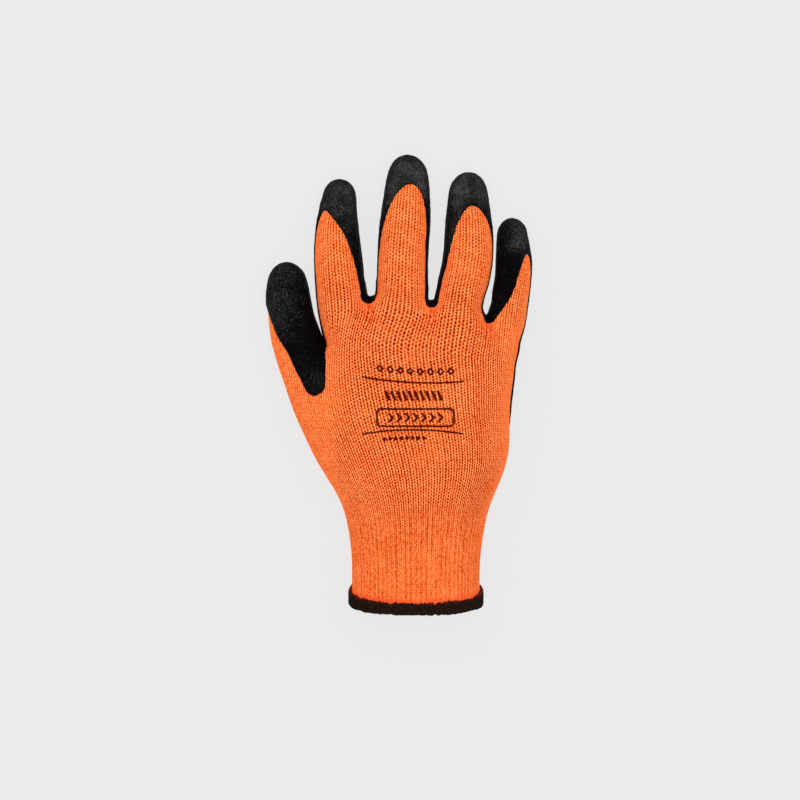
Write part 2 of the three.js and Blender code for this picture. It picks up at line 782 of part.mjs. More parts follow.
// Lays points that are close to the coating's edge on that edge, so that no sliver is left.
function settleEdge(net) {
  const bare = [...net.bare];
  const near = 0.14;
  for (const face of net.faces) {
    for (const [i, j] of [[0, 1], [1, 2], [2, 3], [3, 0], [0, 2]]) {
      const a = face[i];
      const b = face[j];
      if (net.bare[a] * net.bare[b] < 0) {
        const share = net.bare[a] / (net.bare[a] - net.bare[b]);
        if (share < near) bare[a] = 0;
        if (share > 1 - near) bare[b] = 0;
      }
    }
  }
  return bare;
}

// The latex coating: the coated part of the net, cut along its edge and thickened.
function latexCoating(net, normals) {
  const bare = settleEdge(net);
  const inside = offset(net, normals, LAYER_GAP);
  const outside = offset(net, normals, LAYER_GAP + COATING_WALL);
  const shell = new Shell();
  const open = new Map();
  const corner = (id) => ({ key: String(id), inner: inside[id], outer: outside[id] });
  const crossing = (a, b) => {
    const [low, high] = a < b ? [a, b] : [b, a];
    const share = bare[low] / (bare[low] - bare[high]);
    return {
      key: low + "-" + high,
      inner: inside[low].clone().lerp(inside[high], share),
      outer: outside[low].clone().lerp(outside[high], share),
    };
  };
  const keep = (ring) => {
    for (let i = 1; i + 1 < ring.length; i += 1) {
      const [a, b, c] = [ring[0], ring[i], ring[i + 1]];
      shell.triangle(a.outer, b.outer, c.outer);
      shell.triangle(c.inner, b.inner, a.inner);
    }
    ring.forEach((from, i) => {
      const to = ring[(i + 1) % ring.length];
      const back = to.key + ">" + from.key;
      if (open.has(back)) open.delete(back);
      else open.set(from.key + ">" + to.key, [from, to]);
    });
  };
  const cut = (ids) => {
    if (!ids.some((id) => bare[id] < 0)) return;
    const ring = [];
    ids.forEach((id, i) => {
      const next = ids[(i + 1) % ids.length];
      if (bare[id] <= 0) ring.push(corner(id));
      if (bare[id] * bare[next] < 0) ring.push(crossing(id, next));
    });
    keep(ring);
  };
  for (const [a, b, c, d] of net.faces) {
    cut([a, b, c]);
    cut([a, c, d]);
  }
  for (const [from, to] of open.values()) shell.quad(to.outer, from.outer, from.inner, to.inner);
  return shell.mesh("latex_coating", COATING_COLOUR, 0.45);
}

// The overlocked binding: a channel that closes round the edge of the cuff.
function cuffBinding(net, normals, bound, edge) {
  const shell = new Shell();
  const outer = LAYER_GAP + BINDING_WALL;
  const inner = -(KNIT_WALL + LAYER_GAP + BINDING_WALL);
  const round = BINDING_WALL * 0.6;
  const down = new THREE.Vector3(0, -1, 0);
  const profile = (j) => {
    const top = net.points[bound[j]];
    const low = net.points[edge[j]];
    const normal = normals[edge[j]].clone().setY(0).normalize();
    const at = (base, side, drop) => base.clone().addScaledVector(normal, side).addScaledVector(down, drop);
    return [
      at(top, LAYER_GAP, 0),
      at(top, outer, 0),
      at(low, outer, outer - round),
      at(low, (outer - KNIT_WALL) / 2, outer),
      at(low, inner, outer - round),
      at(top, inner, 0),
      at(top, -KNIT_WALL - LAYER_GAP, 0),
      at(low, -KNIT_WALL - LAYER_GAP, LAYER_GAP),
      at(low, LAYER_GAP, LAYER_GAP),
    ];
  };
  const profiles = edge.map((_, j) => profile(j));
  profiles.forEach((here, j) => {
    const next = profiles[(j + 1) % profiles.length];
    here.forEach((point, i) => {
      const after = (i + 1) % here.length;
      shell.quad(here[after], next[after], next[i], point);
    });
  });
  return shell.mesh("cuff_binding", BINDING_COLOUR, 0.9);
}

const { net, bound, edge } = buildNet();
net.soften();
const normals = net.normals();
const glove = new THREE.Group();
glove.add(knitLiner(net, normals, edge));
glove.add(latexCoating(net, normals));
glove.add(cuffBinding(net, normals, bound, edge));

export default glove;
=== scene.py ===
"""Dress of a latex coated grip glove: its knit liner, latex skin and overlocked cuff edge."""
import logging
import math
from dataclasses import dataclass, field
from enum import Enum
from typing import Callable, Sequence, Union

import bpy
import numpy as np
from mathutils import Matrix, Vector, noise


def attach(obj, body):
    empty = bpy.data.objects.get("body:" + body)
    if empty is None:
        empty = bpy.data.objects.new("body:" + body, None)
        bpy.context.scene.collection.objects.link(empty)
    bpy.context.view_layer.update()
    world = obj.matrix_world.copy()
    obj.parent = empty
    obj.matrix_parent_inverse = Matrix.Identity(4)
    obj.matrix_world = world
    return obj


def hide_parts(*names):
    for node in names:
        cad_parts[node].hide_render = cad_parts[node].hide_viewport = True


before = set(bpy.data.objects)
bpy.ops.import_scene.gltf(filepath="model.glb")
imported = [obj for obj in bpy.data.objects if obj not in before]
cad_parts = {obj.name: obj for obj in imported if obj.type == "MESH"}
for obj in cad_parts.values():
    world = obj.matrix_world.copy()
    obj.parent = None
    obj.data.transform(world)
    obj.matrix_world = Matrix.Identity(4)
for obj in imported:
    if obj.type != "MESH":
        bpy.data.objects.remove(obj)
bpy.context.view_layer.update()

LOG = logging.getLogger("glove")
MM = 0.001
DIGIT_COLUMNS = 16
QUARTER = DIGIT_COLUMNS // 4
HALF = 2 * QUARTER
SECTION_POWER = 0.9  # how round a digit's section is, with 1 for an ellipse
AIM_SHARE = 0.02  # half of the share of a digit over which its direction is measured
CAP_ANGLES = (0, 32, 58)  # degrees of the rings on a digit's rounded end
CORE_ANGLE = 76  # degrees of the inner ring that closes the end
BARE_CUFF = 60  # degrees of bareness of the cuff, which is bare all round
WEB_BARE = (4, -14, -40)  # bareness over, at and under the webs of the fingers
THUMB_WEB_BARE = -30  # bareness at the web of the thumb
TIP_BARE = -90  # bareness at the fingertips
SIDE_ANGLE = 87  # degrees from the top where the coating starts at the palm's sides
SIDE_TUCK = 9  # degrees by which it starts lower near the wrist
WALES = 3  # wales of the knit in one column of the net
STITCH_MAP = "stitch"
OPEN_NAME = "openness"
MERGE_CELLS = 2000  # points of a piece are one when they share a cell of this many to a millimetre

Number = Union[float, "Wire"]
Colour = tuple[float, float, float]


class Zone(Enum):
    """Part of the glove that a row of the net belongs to."""

    KNUCKLES = "knuckles"
    PALM = "palm"
    CUFF = "cuff"


@dataclass(frozen=True)
class Section:
    """Section of a digit: at is a share of its length, the others are shares of its width."""

    at: float
    side: float
    wide: float
    high: float
    lift: float


@dataclass(frozen=True)
class Reach:
    """Limits of the bare knit round a digit, in degrees from the top of its section."""

    at: float
    inner: float
    outer: float


@dataclass(frozen=True)
class Digit:
    """One finger or the thumb, with lengths in millimetres."""

    length: float
    width: float
    tip_side: float
    sections: tuple[Section, ...]
    bare: tuple[Reach, ...]


@dataclass(frozen=True)
class Web:
    """Place at the finger roots, in shares of the palm's width and length."""

    side: float
    drop: float


@dataclass(frozen=True)
class Row:
    """Row of the palm or cuff, in shares of its sizes."""

    at: float
    left: float
    right: float
    high: float
    lean: float = 0.0
    settle: float = 1.0
    slant: float = 0.0


@dataclass(frozen=True)
class Knuckle:
    """Row between the webs of the fingers and the web of the thumb."""

    at: float
    settle: float
    high: float


@dataclass(frozen=True)
class Mark:
    """Row of a short table: value is read along at."""

    at: float
    value: float


@dataclass(frozen=True)
class Tongue:
    """Row of the coating's tongue on the back of the palm."""

    at: float
    middle: float
    half: float


@dataclass(frozen=True)
class Spread:
    """How far the two sides of a gap stand off its middle, in millimetres over the gap's end."""

    at: float
    left: float
    right: float


@dataclass(frozen=True)
class GapEnd:
    """End of the gap between two fingers, seen from above, in millimetres."""

    x: float
    y: float
    band_x: float
    band_y: float
    band_wide: float
    band_deep: float
    spread: tuple[Spread, ...]

    def spot(self, x: np.ndarray, y: np.ndarray, back: float, width: float) -> np.ndarray:
        """Soft round spot, 1 at a place back from the middle of the band."""
        off = (x - self.band_x) ** 2 + (y - self.band_y + back) ** 2
        return np.exp(-off / width**2)


@dataclass(frozen=True)
class Pull:
    """Soft pull of the surface round one place, in millimetres."""

    x: float
    y: float
    wide: float
    long: float
    right: float
    back: float


@dataclass(frozen=True)
class EdgeLine:
    """Right edge of the coating beside the thumb's gap: it leans left over bend_y. In millimetres."""

    x: float
    bend_y: float
    lean: float
    reach: float
    low: float
    high: float


def table(kind: type, *values: Sequence[float]) -> tuple:
    """Makes the rows of a short table, whose columns are the fields of their kind."""
    return tuple(kind(*row) for row in values)


WEBS = table(
    Web,
    (-0.492, 0.0), (-0.2315, 0.0), (0.0805, 0.015), (0.362, 0.095), (0.556, 0.14),
)
THUMB_WEB = Web(-0.452, 0.18)
THUMB_EDGE = Web(-0.728, 0.185)
PALM_EDGE = Web(0.5, 0.3)

INDEX = Digit(
    67, 24, -0.378,
    table(
        Section,
        (0.14, -0.05, 1.08, 0.98, 0.66), (0.39, -0.1, 1.0, 0.88, 0.68), (0.65, -0.1, 0.87, 0.78, 0.54),
        (0.79, -0.05, 0.74, 0.7, 0.43), (1.0, 0.0, 0.62, 0.56, 0.32),
    ),
    table(
        Reach,
        (0.0, -94, 58), (0.25, -93, 50), (0.45, -90, 32), (0.6, -86, 8), (0.68, -72, -16),
        (0.74, -44, -44), (1.0, 40, -130),
    ),
)
MIDDLE = Digit(
    81, 26.5, -0.031,
    table(
        Section,
        (0.12, 0.015, 0.99, 0.94, 0.62), (0.34, -0.01, 0.97, 0.84, 0.66),
        (0.55, 0.01, 0.95, 0.78, 0.57), (0.77, 0.01, 0.85, 0.68, 0.41), (0.88, 0.0, 0.76, 0.6, 0.34),
        (1.0, 0.0, 0.72, 0.54, 0.28),
    ),
    table(
        Reach,
        (0.0, -104, 78), (0.2, -98, 74), (0.35, -88, 70), (0.55, -60, 62), (0.68, -37, 55),
        (0.75, -19, 41), (0.785, -2, 27), (0.8, 13, 13), (1.0, 90, -90),
    ),
)
RING = Digit(
    77, 25, 0.267,
    table(
        Section,
        (0.15, 0.03, 1.0, 0.96, 0.64), (0.37, 0.125, 1.02, 0.86, 0.66), (0.55, 0.11, 0.99, 0.8, 0.57),
        (0.74, 0.06, 0.86, 0.71, 0.44), (0.87, 0.04, 0.77, 0.62, 0.35), (1.0, 0.0, 0.64, 0.54, 0.3),
    ),
    table(
        Reach,
        (0.0, -66, 93), (0.3, -63, 92), (0.5, -46, 93), (0.62, -30, 66), (0.71, -14, 38), (0.77, 8, 8),
        (1.0, 90, -80),
    ),
)
LITTLE = Digit(
    58.6, 18.4, 0.488,
    table(
        Section,
        (0.18, 0.03, 1.05, 1.06, 0.74), (0.4, 0.15, 0.99, 0.96, 0.74), (0.6, 0.14, 0.97, 0.88, 0.62),
        (0.78, 0.08, 0.88, 0.78, 0.48), (1.0, 0.0, 0.68, 0.62, 0.36),
    ),
    table(
        Reach,
        (0.0, -66, 96), (0.08, -27, 95), (0.2, -3, 95), (0.45, 11, 92), (0.58, 21, 95), (0.66, 30, 80),
        (0.71, 54, 54), (1.0, 130, -40),
    ),
)
THUMB = Digit(
    42, 24, -0.653,
    table(
        Section,
        (0.1, -0.08, 1.03, 0.98, 0.52), (0.3, -0.1, 0.97, 0.92, 0.5), (0.55, -0.07, 0.93, 0.84, 0.46),
        (0.75, -0.04, 0.84, 0.74, 0.41), (1.0, 0.0, 0.72, 0.64, 0.36),
    ),
    table(
        Reach,
        (0.0, -128, -34), (0.15, -124, -42), (0.33, -112, -56), (0.56, -88, -88), (1.0, 20, -200),
    ),
)
FINGERS = (INDEX, MIDDLE, RING, LITTLE)

KNUCKLE_ROWS = table(
    Knuckle,
    (0.36, 0.34, 0.84), (0.68, 0.6, 0.88), (1.0, 0.8, 0.92),
)
PALM_ROWS = table(
    Row,
    (0.75, -0.71, 0.494, 0.95, 0.34, 0.3), (0.67, -0.684, 0.486, 0.98, 0.33, 0.54),
    (0.58, -0.652, 0.472, 1.0, 0.29, 0.76), (0.49, -0.62, 0.468, 1.0, 0.25, 0.9),
    (0.4, -0.584, 0.468, 1.0, 0.2), (0.3, -0.536, 0.468, 0.99, 0.16), (0.2, -0.482, 0.458, 0.97, 0.11),
    (0.1, -0.42, 0.42, 0.94, 0.06), (0.01, -0.366, 0.373, 0.91, 0.03),
)
CUFF_ROWS = (
    Row(0.2, -0.525, 0.543, 1.04, slant=0.25),
    Row(0.42, -0.504, 0.52, 1.01, slant=0.55),
    Row(0.65, -0.49, 0.506, 0.99, slant=0.85),
)
BOUND = Row(0.87, -0.497, 0.51, 1.02, slant=1.45)
OPENING = Row(1.0, -0.497, 0.51, 1.02, slant=1.0)
HEEL_LINE = table(
    Mark,
    (-1, 0.5), (-0.8, 0.34), (-0.4, 0.2), (0.2, 0.15), (0.7, 0.2), (1, 0.38),
)
THUMB_SIDE = table(
    Mark,
    (0.4, 122), (0.6, 106), (0.82, 98),
)
TONGUE = table(
    Tongue,
    (0.3, -0.5, -0.3), (0.541, -0.504, 0.0), (0.546, -0.504, 0.018), (0.556, -0.503, 0.034),
    (0.572, -0.502, 0.047), (0.605, -0.506, 0.0583), (0.684, -0.5245, 0.0795), (0.778, -0.5475, 0.1005),
    (0.87, -0.568, 0.113),
)

GAP_ENDS = (
    GapEnd(
        -24.1, 56.1, -25.2, 57.4, 4.1, 5.0,
        table(
            Spread,
            (-1.2, 0, 0), (0, 0.7, 1.9), (1.2, 0.9, 2.1), (2.9, 0.7, 1.4), (5.2, 0.4, 0.95),
            (8.5, 0.5, 0.1), (12, 0.5, 0), (17, 0, 0),
        ),
    ),
    GapEnd(
        9.0, 53.2, 9.0, 55.0, 3.6, 4.9,
        table(
            Spread,
            (-1.2, 0, 0), (0, 0.8, 0.5), (1, 1.8, 1.2), (4.8, 0.75, 0.6), (7.8, 0.15, 0.5), (12, 0, 0),
        ),
    ),
    GapEnd(
        39.5, 46.0, 40.3, 46.6, 3.4, 5.0,
        table(
            Spread,
            (-1.5, 0, 0), (0, 1.2, 0.1), (1, 1.9, 0.3), (4.6, 2.4, 0.9), (7.7, 1.7, 1.0),
            (10.7, 1.3, 0.6), (13.7, 0.6, 0.15), (18, 0, 0),
        ),
    ),
)

PULLS = table(
    Pull,
    (-51.0, 37.0, 6.5, 7.5, 1.9, 6.4), (60.0, 31.5, 9.0, 8.0, -2.1, 0.0),
    (53.0, -16.0, 10.0, 15.0, 0.8, 0.0),
)
THUMB_EDGE_LINE = EdgeLine(-48.3, 31, 0.25, 1.6, 22, 44)


def ease(value: float) -> float:
    """Smooth step from 0 to 1."""
    t = min(1.0, max(0.0, value))
    return t * t * (3 - 2 * t)


def mix(start: float, end: float, share: float) -> float:
    """Value between two numbers."""
    return start + (end - start) * share


def signed_power(value: float, power: float) -> float:
    """Raises a number to a power and keeps its sign."""
    return math.copysign(abs(value) ** power, value)


def smooth_step(values: np.ndarray, low: float, high: float) -> np.ndarray:
    """Smooth step of an array from 0 at low to 1 at high."""
    t = np.clip((values - low) / (high - low), 0, 1)
    return t * t * (3 - 2 * t)


def ring_place(column: int) -> tuple[float, float]:
    """Place across and up on a digit's section at a column, both from -1 to 1."""
    turn = column * 2 * math.pi / DIGIT_COLUMNS
    return -signed_power(math.cos(turn), SECTION_POWER), signed_power(math.sin(turn), SECTION_POWER)


def read(rows: Sequence[object], column: str, value: float, smooth: bool = False) -> float:
    """Reads one column of a table.

    Args:
        rows: Rows of the table.
        column: Name of the column that is read.
        value: Place along the column at.
        smooth: Whether the column is read along a smooth curve.

    Returns:
        The column's value there.
    """
    ordered = sorted(rows, key=lambda row: row.at)
    keys = [row.at for row in ordered]
    found = [getattr(row, column) for row in ordered]
    last = len(keys) - 1
    if value <= keys[0]:
        return found[0]
    if value >= keys[last]:
        return found[last]
    i = 1
    while value > keys[i]:
        i += 1
    span = keys[i] - keys[i - 1]
    t = (value - keys[i - 1]) / span
    if not smooth:
        return mix(found[i - 1], found[i], t)
    before = i - 2 if i > 1 else i - 1
    after = i + 1 if i < last else i
    start = (found[i] - found[before]) / (keys[i] - keys[before]) * span
    end = (found[after] - found[i - 1]) / (keys[after] - keys[i - 1]) * span
    rise = found[i] - found[i - 1]
    bend = t * t * (3 * rise - 2 * start - end)
    return found[i - 1] + t * start + bend + t**3 * (start + end - 2 * rise)


def read_all(rows: Sequence[object], column: str, values: np.ndarray) -> np.ndarray:
    """Reads one column of a table along straight lines, for many places."""
    return np.interp(values, [row.at for row in rows], [getattr(row, column) for row in rows])


def ripple(points: np.ndarray, size: float, seed: float) -> np.ndarray:
    """Smooth noise at points.

    Args:
        points: Places in millimetres.
        size: Width of the bumps in millimetres.
        seed: Shift that makes one noise differ from another.

    Returns:
        One value from about -1 to 1 for each point.
    """
    flat = (points.reshape(-1, 3) / size + seed).tolist()
    return np.array([noise.noise(Vector(place)) for place in flat]).reshape(points.shape[:-1])


class Net:
    """Net of four-sided faces that carries every layer of the glove."""

    def __init__(self) -> None:
        """Starts an empty net."""
        self.points: list[list[float]] = []
        self.bare: list[float] = []
        self.lifts: list[float] = []
        self.faces: list[list[int]] = []
        self.columns: list[int] = []
        self.courses: list[int] = []

    def add(self, point: Sequence[float], bare: float, lift: float) -> int:
        """Adds a point.

        Args:
            point: Place in millimetres.
            bare: Positive where the knit shows, negative under the coating.
            lift: Least height over the floor.

        Returns:
            The point's number.
        """
        self.points.append(list(point))
        self.bare.append(bare)
        self.lifts.append(lift)
        return len(self.points) - 1

    def face(self, ids: list[int], column: int, courses: int) -> None:
        """Adds a face with its first column and its number of courses."""
        self.faces.append(ids)
        self.columns.append(column)
        self.courses.append(courses)

    def join(self, lower: list[int], upper: list[int], pitch: float) -> None:
        """Adds the faces between two rings.

        Args:
            lower: Ring on the side of the cuff.
            upper: Ring on the side of the fingertips.
            pitch: Height of one course of the knit in millimetres.
        """
        low = np.array([self.points[i] for i in lower])
        high = np.array([self.points[i] for i in upper])
        courses = max(1, round(float(np.linalg.norm(high - low, axis=1).mean()) / pitch))
        count = len(lower)
        for k in range(count):
            after = (k + 1) % count
            self.face([lower[k], lower[after], upper[after], upper[k]], k, courses)


@dataclass
class Root:
    """Root ring of a digit, with lengths in millimetres."""

    ring: list[int]
    centre: tuple[float, float, float]
    slant: float
    wide: float
    high: float


@dataclass
class GloveForm:
    """The glove's form: the net from the fingertips to the cuff, sizes in millimetres."""

    palm_length: float = 110.0
    cuff_length: float = 53.6
    palm_width: float = 108.0
    palm_height: float = 37.0
    cuff_width: float = 69.0
    cuff_height: float = 32.0
    knit_wall: float = 2.0
    coating_wall: float = 0.9
    binding_wall: float = 1.5
    binding_depth: float = 7.0
    layer_gap: float = 0.3
    origin_share: float = 0.52
    opening_slant: float = 0.12
    ring_pitch: float = 9.5
    cap_growth: float = 1.026
    cap_length: float = 1.04
    thumb_high: float = 1.02
    slant_fade: float = 0.35
    edge_fade: float = 0.7
    knuckle_lean: float = 0.12
    side_line: float = 0.44
    back_power: float = 2.3
    palm_power: float = 3.0
    sunk: float = 0.05
    heel_steep: float = 160.0
    course: float = 1.65
    cuff_course: float = 1.3
    web_rise: float = 0.42
    web_depth: float = 0.13
    web_thick: float = 0.16
    thumb_rise: float = 0.34
    root_rise: float = 0.72
    net: Net = field(default_factory=Net)

    def __post_init__(self) -> None:
        """Works out the sizes that follow from the others."""
        self.wrist_y = -self.origin_share * self.palm_length
        self.web_y = self.wrist_y + self.palm_length
        self.coated_lift = self.layer_gap + self.coating_wall
        self.bound_lift = self.layer_gap + self.binding_wall
        self.web_height = self.web_rise * self.palm_height
        self.web_back = self.web_depth * self.palm_height
        self.web_fold = self.web_thick * self.palm_height
        self.thumb_line = self.thumb_rise * self.palm_height
        self.root_high = self.root_rise * self.palm_height
        self.thumb_web_y = self.web_line(THUMB_WEB)
        self.palm_edge_y = self.web_line(PALM_EDGE)

    def web_line(self, web: Web) -> float:
        """Place of a web along the hand in millimetres."""
        return self.web_y - web.drop * self.palm_length

    def digit_bare(self, digit: Digit, at: float, column: int) -> float:
        """How bare a digit is, in degrees, at a share of its length and a column."""
        angle = (column - QUARTER) * (360 / DIGIT_COLUMNS)
        angle = angle - 360 if angle > 180 else angle
        return min(angle - read(digit.bare, "inner", at), read(digit.bare, "outer", at) - angle)

    def digit_section(self, digit: Digit, root: Root, at: float) -> tuple[np.ndarray, float, float]:
        """Axis, width and height of a digit.

        Args:
            digit: The digit.
            root: Its root ring.
            at: Share of its length.

        Returns:
            The axis point, the width and the height there.
        """
        width = digit.width
        start = Section(0, 0, root.wide / width, root.high / width, root.centre[2] / width)
        rows = (start, *digit.sections)
        side = read(rows, "side", at, smooth=True) * width
        centre = np.array([
            mix(root.centre[0], digit.tip_side * self.palm_width, at) + side,
            root.centre[1] + at * digit.length,
            read(rows, "lift", at, smooth=True) * width,
        ])
        wide = read(rows, "wide", at, smooth=True) * width
        return centre, wide, read(rows, "high", at, smooth=True) * width

    def add_digit(self, digit: Digit, root: Root) -> None:
        """Builds one digit on its root ring.

        Args:
            digit: The digit's table.
            root: The ring that it grows from.
        """
        tip_radius = read(digit.sections, "wide", 1) * digit.width / 2
        end_share = tip_radius * self.cap_length / digit.length
        straight = 1 - end_share
        steps = max(2, round(straight * digit.length / self.ring_pitch))
        stations = [(straight * i / steps, 1.0) for i in range(1, steps)]
        for turn in map(math.radians, CAP_ANGLES):
            stations.append((straight + end_share * math.sin(turn), math.cos(turn)))

        def place(at: float, scale: float, across: float, up: float, bare: float) -> int:
            """Adds a point on the digit's section at a share of its length."""
            centre, wide, high = self.digit_section(digit, root, at)
            reach = min(1, at + AIM_SHARE)
            along = self.digit_section(digit, root, reach)[0]
            along = along - self.digit_section(digit, root, max(0, reach - 2 * AIM_SHARE))[0]
            along /= np.linalg.norm(along)
            side = np.cross(along, (0, 0, 1))
            side /= np.linalg.norm(side)
            top = np.cross(side, along)
            half = scale * self.cap_growth / 2
            point = centre + side * (across * half * wide) + top * (up * half * high)
            point[1] += root.slant * (point[0] - centre[0]) * (1 - ease(at / self.slant_fade))
            return self.net.add(point, bare, self.coated_lift)

        last = root.ring
        for at, scale in stations:
            columns = range(DIGIT_COLUMNS)
            ring = [place(at, scale, *ring_place(k), self.digit_bare(digit, at, k)) for k in columns]
            self.net.join(last, ring, self.course)
            last = ring
        self.add_end(last, place, straight, end_share)

    def add_end(self, ring: list[int], place: Callable[..., int], straight: float, end_share: float) -> None:
        """Closes the last ring of a digit with four by four faces.

        Args:
            ring: The last ring.
            place: Function that adds a point on the digit.
            straight: Share of the length where the rounded end starts.
            end_share: Length of the rounded end as a share.
        """
        half = QUARTER // 2
        grid: list[list[int]] = []
        for row in range(QUARTER + 1):
            grid.append([])
            for column in range(QUARTER + 1):
                across, up = (column - half) / half, (row - half) / half
                if row == QUARTER:
                    number = ring[half + column]
                elif row == 0:
                    number = ring[(DIGIT_COLUMNS - half - column) % DIGIT_COLUMNS]
                elif column == 0:
                    number = ring[(DIGIT_COLUMNS + half - (QUARTER - row)) % DIGIT_COLUMNS]
                elif column == QUARTER:
                    number = ring[half + QUARTER + (QUARTER - row)]
                else:
                    reach = math.hypot(across, up)
                    turn = math.radians(CORE_ANGLE if reach else 90)
                    size = reach or 1
                    at = straight + end_share * math.sin(turn)
                    number = place(at, math.cos(turn), across / size, up / size, TIP_BARE)
                grid[row].append(number)
        for near, far in zip(grid, grid[1:]):
            for column in range(QUARTER):
                self.net.face([near[column], far[column], far[column + 1], near[column + 1]], column, 1)

    def web_point(self, web: Web, back: float, height: float, bare: float) -> int:
        """Adds a point between two fingers, back of the web line and over the flesh line."""
        place = (web.side * self.palm_width, self.web_line(web) - back, self.web_height + height)
        return self.net.add(place, bare, self.coated_lift)

    def root_ring(
        self,
        digit: Digit,
        centre: tuple[float, float, float],
        wide: float,
        high: float,
        fixed: dict[int, int],
        fall: float,
        slant: float = 0,
    ) -> Root:
        """Builds the root ring of a digit.

        Args:
            digit: The digit's table.
            centre: Middle of the ring.
            wide: Width of the ring.
            high: Height of the ring.
            fixed: Points of the ring that are there already, by column.
            fall: How far back the top and the bottom lie.
            slant: How much further forward it lies for a millimetre across.

        Returns:
            The ring with its sizes.
        """
        ring = []
        for k in range(DIGIT_COLUMNS):
            if k in fixed:
                ring.append(fixed[k])
                continue
            across, up = ring_place(k)
            across, up = across * wide / 2, up * high / 2
            y = centre[1] + slant * across - abs(up) / high * fall
            point = (centre[0] + across, y, centre[2] + up)
            ring.append(self.net.add(point, self.digit_bare(digit, 0, k), self.coated_lift))
        return Root(ring, centre, slant, wide, high)

    def finger_roots(self) -> list[Root]:
        """Root rings of the four fingers: neighbours share three points at each web."""
        shared = []
        for web in WEBS[1:-1]:
            shared.append((
                self.web_point(web, self.web_back, self.web_fold, WEB_BARE[0]),
                self.web_point(web, 0, 0, WEB_BARE[1]),
                self.web_point(web, self.web_back, -self.web_fold, WEB_BARE[2]),
            ))
        roots = []
        for i, digit in enumerate(FINGERS):
            near, far = WEBS[i], WEBS[i + 1]
            wide = (far.side - near.side) * self.palm_width
            slant = -(far.drop - near.drop) * self.palm_length / wide
            centre = (
                (near.side + far.side) / 2 * self.palm_width,
                self.web_y - (near.drop + far.drop) / 2 * self.palm_length,
                self.web_height,
            )
            fixed = {}
            if i > 0:
                fixed.update(zip((1, 0, DIGIT_COLUMNS - 1), shared[i - 1]))
            if i < len(shared):
                fixed.update(zip((HALF - 1, HALF, HALF + 1), shared[i]))
            roots.append(self.root_ring(digit, centre, wide, self.root_high, fixed, 2 * self.web_back, slant))
        return roots

    def profile(self, ring: list[int]) -> list[tuple[float, float]]:
        """Share across the hand and height of each point in a ring."""
        points = [self.net.points[i] for i in ring]
        left, right = points[0][0], points[len(ring) // 2][0]
        return [(min(1.0, max(0.0, (p[0] - left) / (right - left))), p[2]) for p in points]

    def section_height(self, across: float, is_top: bool, high: float, row: Row, lift: float) -> float:
        """Height of the palm's section over the floor.

        Args:
            across: Share across the section.
            is_top: Whether it is the back of the hand.
            high: Height of the section.
            row: The row, which says how much lower the thumb's side lies.
            lift: Height at which the section starts.

        Returns:
            The height in millimetres.
        """
        reach = abs(2 * across - 1)
        line = self.side_line * high
        power = self.back_power if is_top else self.palm_power
        curve = max(0.0, 1 - reach**power) ** (1 / power)
        sunk = self.sunk * high
        height = line + (high - line) * curve if is_top else line - (line + sunk) * curve
        return lift + height * (1 - row.lean * (1 - across) ** 2)

    def palm_bare(self, angle: float, across: float, y: float, zone: Zone) -> float:
        """How bare the palm is.

        Args:
            angle: Degrees from the top of the section.
            across: Share across the section.
            y: Place along the palm.
            zone: Zone of the row. Below the knuckles it holds the thumb's root.

        Returns:
            Degrees, positive where the knit shows.
        """
        if zone is Zone.CUFF:
            return BARE_CUFF
        at = (y - self.wrist_y) / self.palm_length
        below = (read(HEEL_LINE, "value", 2 * across - 1, smooth=True) - at) * self.heel_steep
        near = read(THUMB_SIDE, "value", at) if zone is Zone.PALM else SIDE_ANGLE
        far = SIDE_ANGLE + SIDE_TUCK * ease((0.5 - at) / 0.12)
        bare = min(angle + near, far - angle)
        return bare if abs(angle) < 90 else max(bare, below)

    def add_row(
        self,
        upper: list[int],
        profile: list[tuple[float, float]],
        row: Row,
        width: float,
        high: float,
        ridge_high: float,
        lines: Callable[[float], float],
        lift: float,
        zone: Zone,
    ) -> list[int]:
        """Adds one row below a ring.

        Args:
            upper: The ring above.
            profile: Shape of the ring of ridges that the rows fade from.
            row: Edges, lean, settle and slant of the row.
            width: Size that the edges are shares of.
            high: Height of the row in millimetres.
            ridge_high: Height of the ring of ridges.
            lines: Function that gives the place along the hand from the share across.
            lift: Least height over the floor.
            zone: Zone of the row.

        Returns:
            The new ring.
        """
        count = len(profile)
        half = count // 2
        ids = []
        for j, (own_across, own_height) in enumerate(profile):
            is_top = j <= half
            turn = math.pi * (j if is_top else count - j) / half
            across = mix(own_across, (1 - math.cos(turn)) / 2, row.settle)
            x = mix(row.left, row.right, across) * width
            plain = self.section_height(across, is_top, high, row, lift)
            ridged = own_height * (high / ridge_high if is_top else 1)
            z = mix(ridged, plain, row.settle)
            slide = row.slant * 2 * self.opening_slant * self.cuff_height
            y = lines(across) - slide * (z / high - 0.5)
            angle = math.degrees(turn if is_top else 2 * math.pi - turn) - 90
            signed = angle - 360 if angle > 180 else angle
            ids.append(self.net.add((x, y, z), self.palm_bare(signed, across, y, zone), lift))
        self.net.join(ids, upper, self.cuff_course if zone is Zone.CUFF else self.course)
        return ids

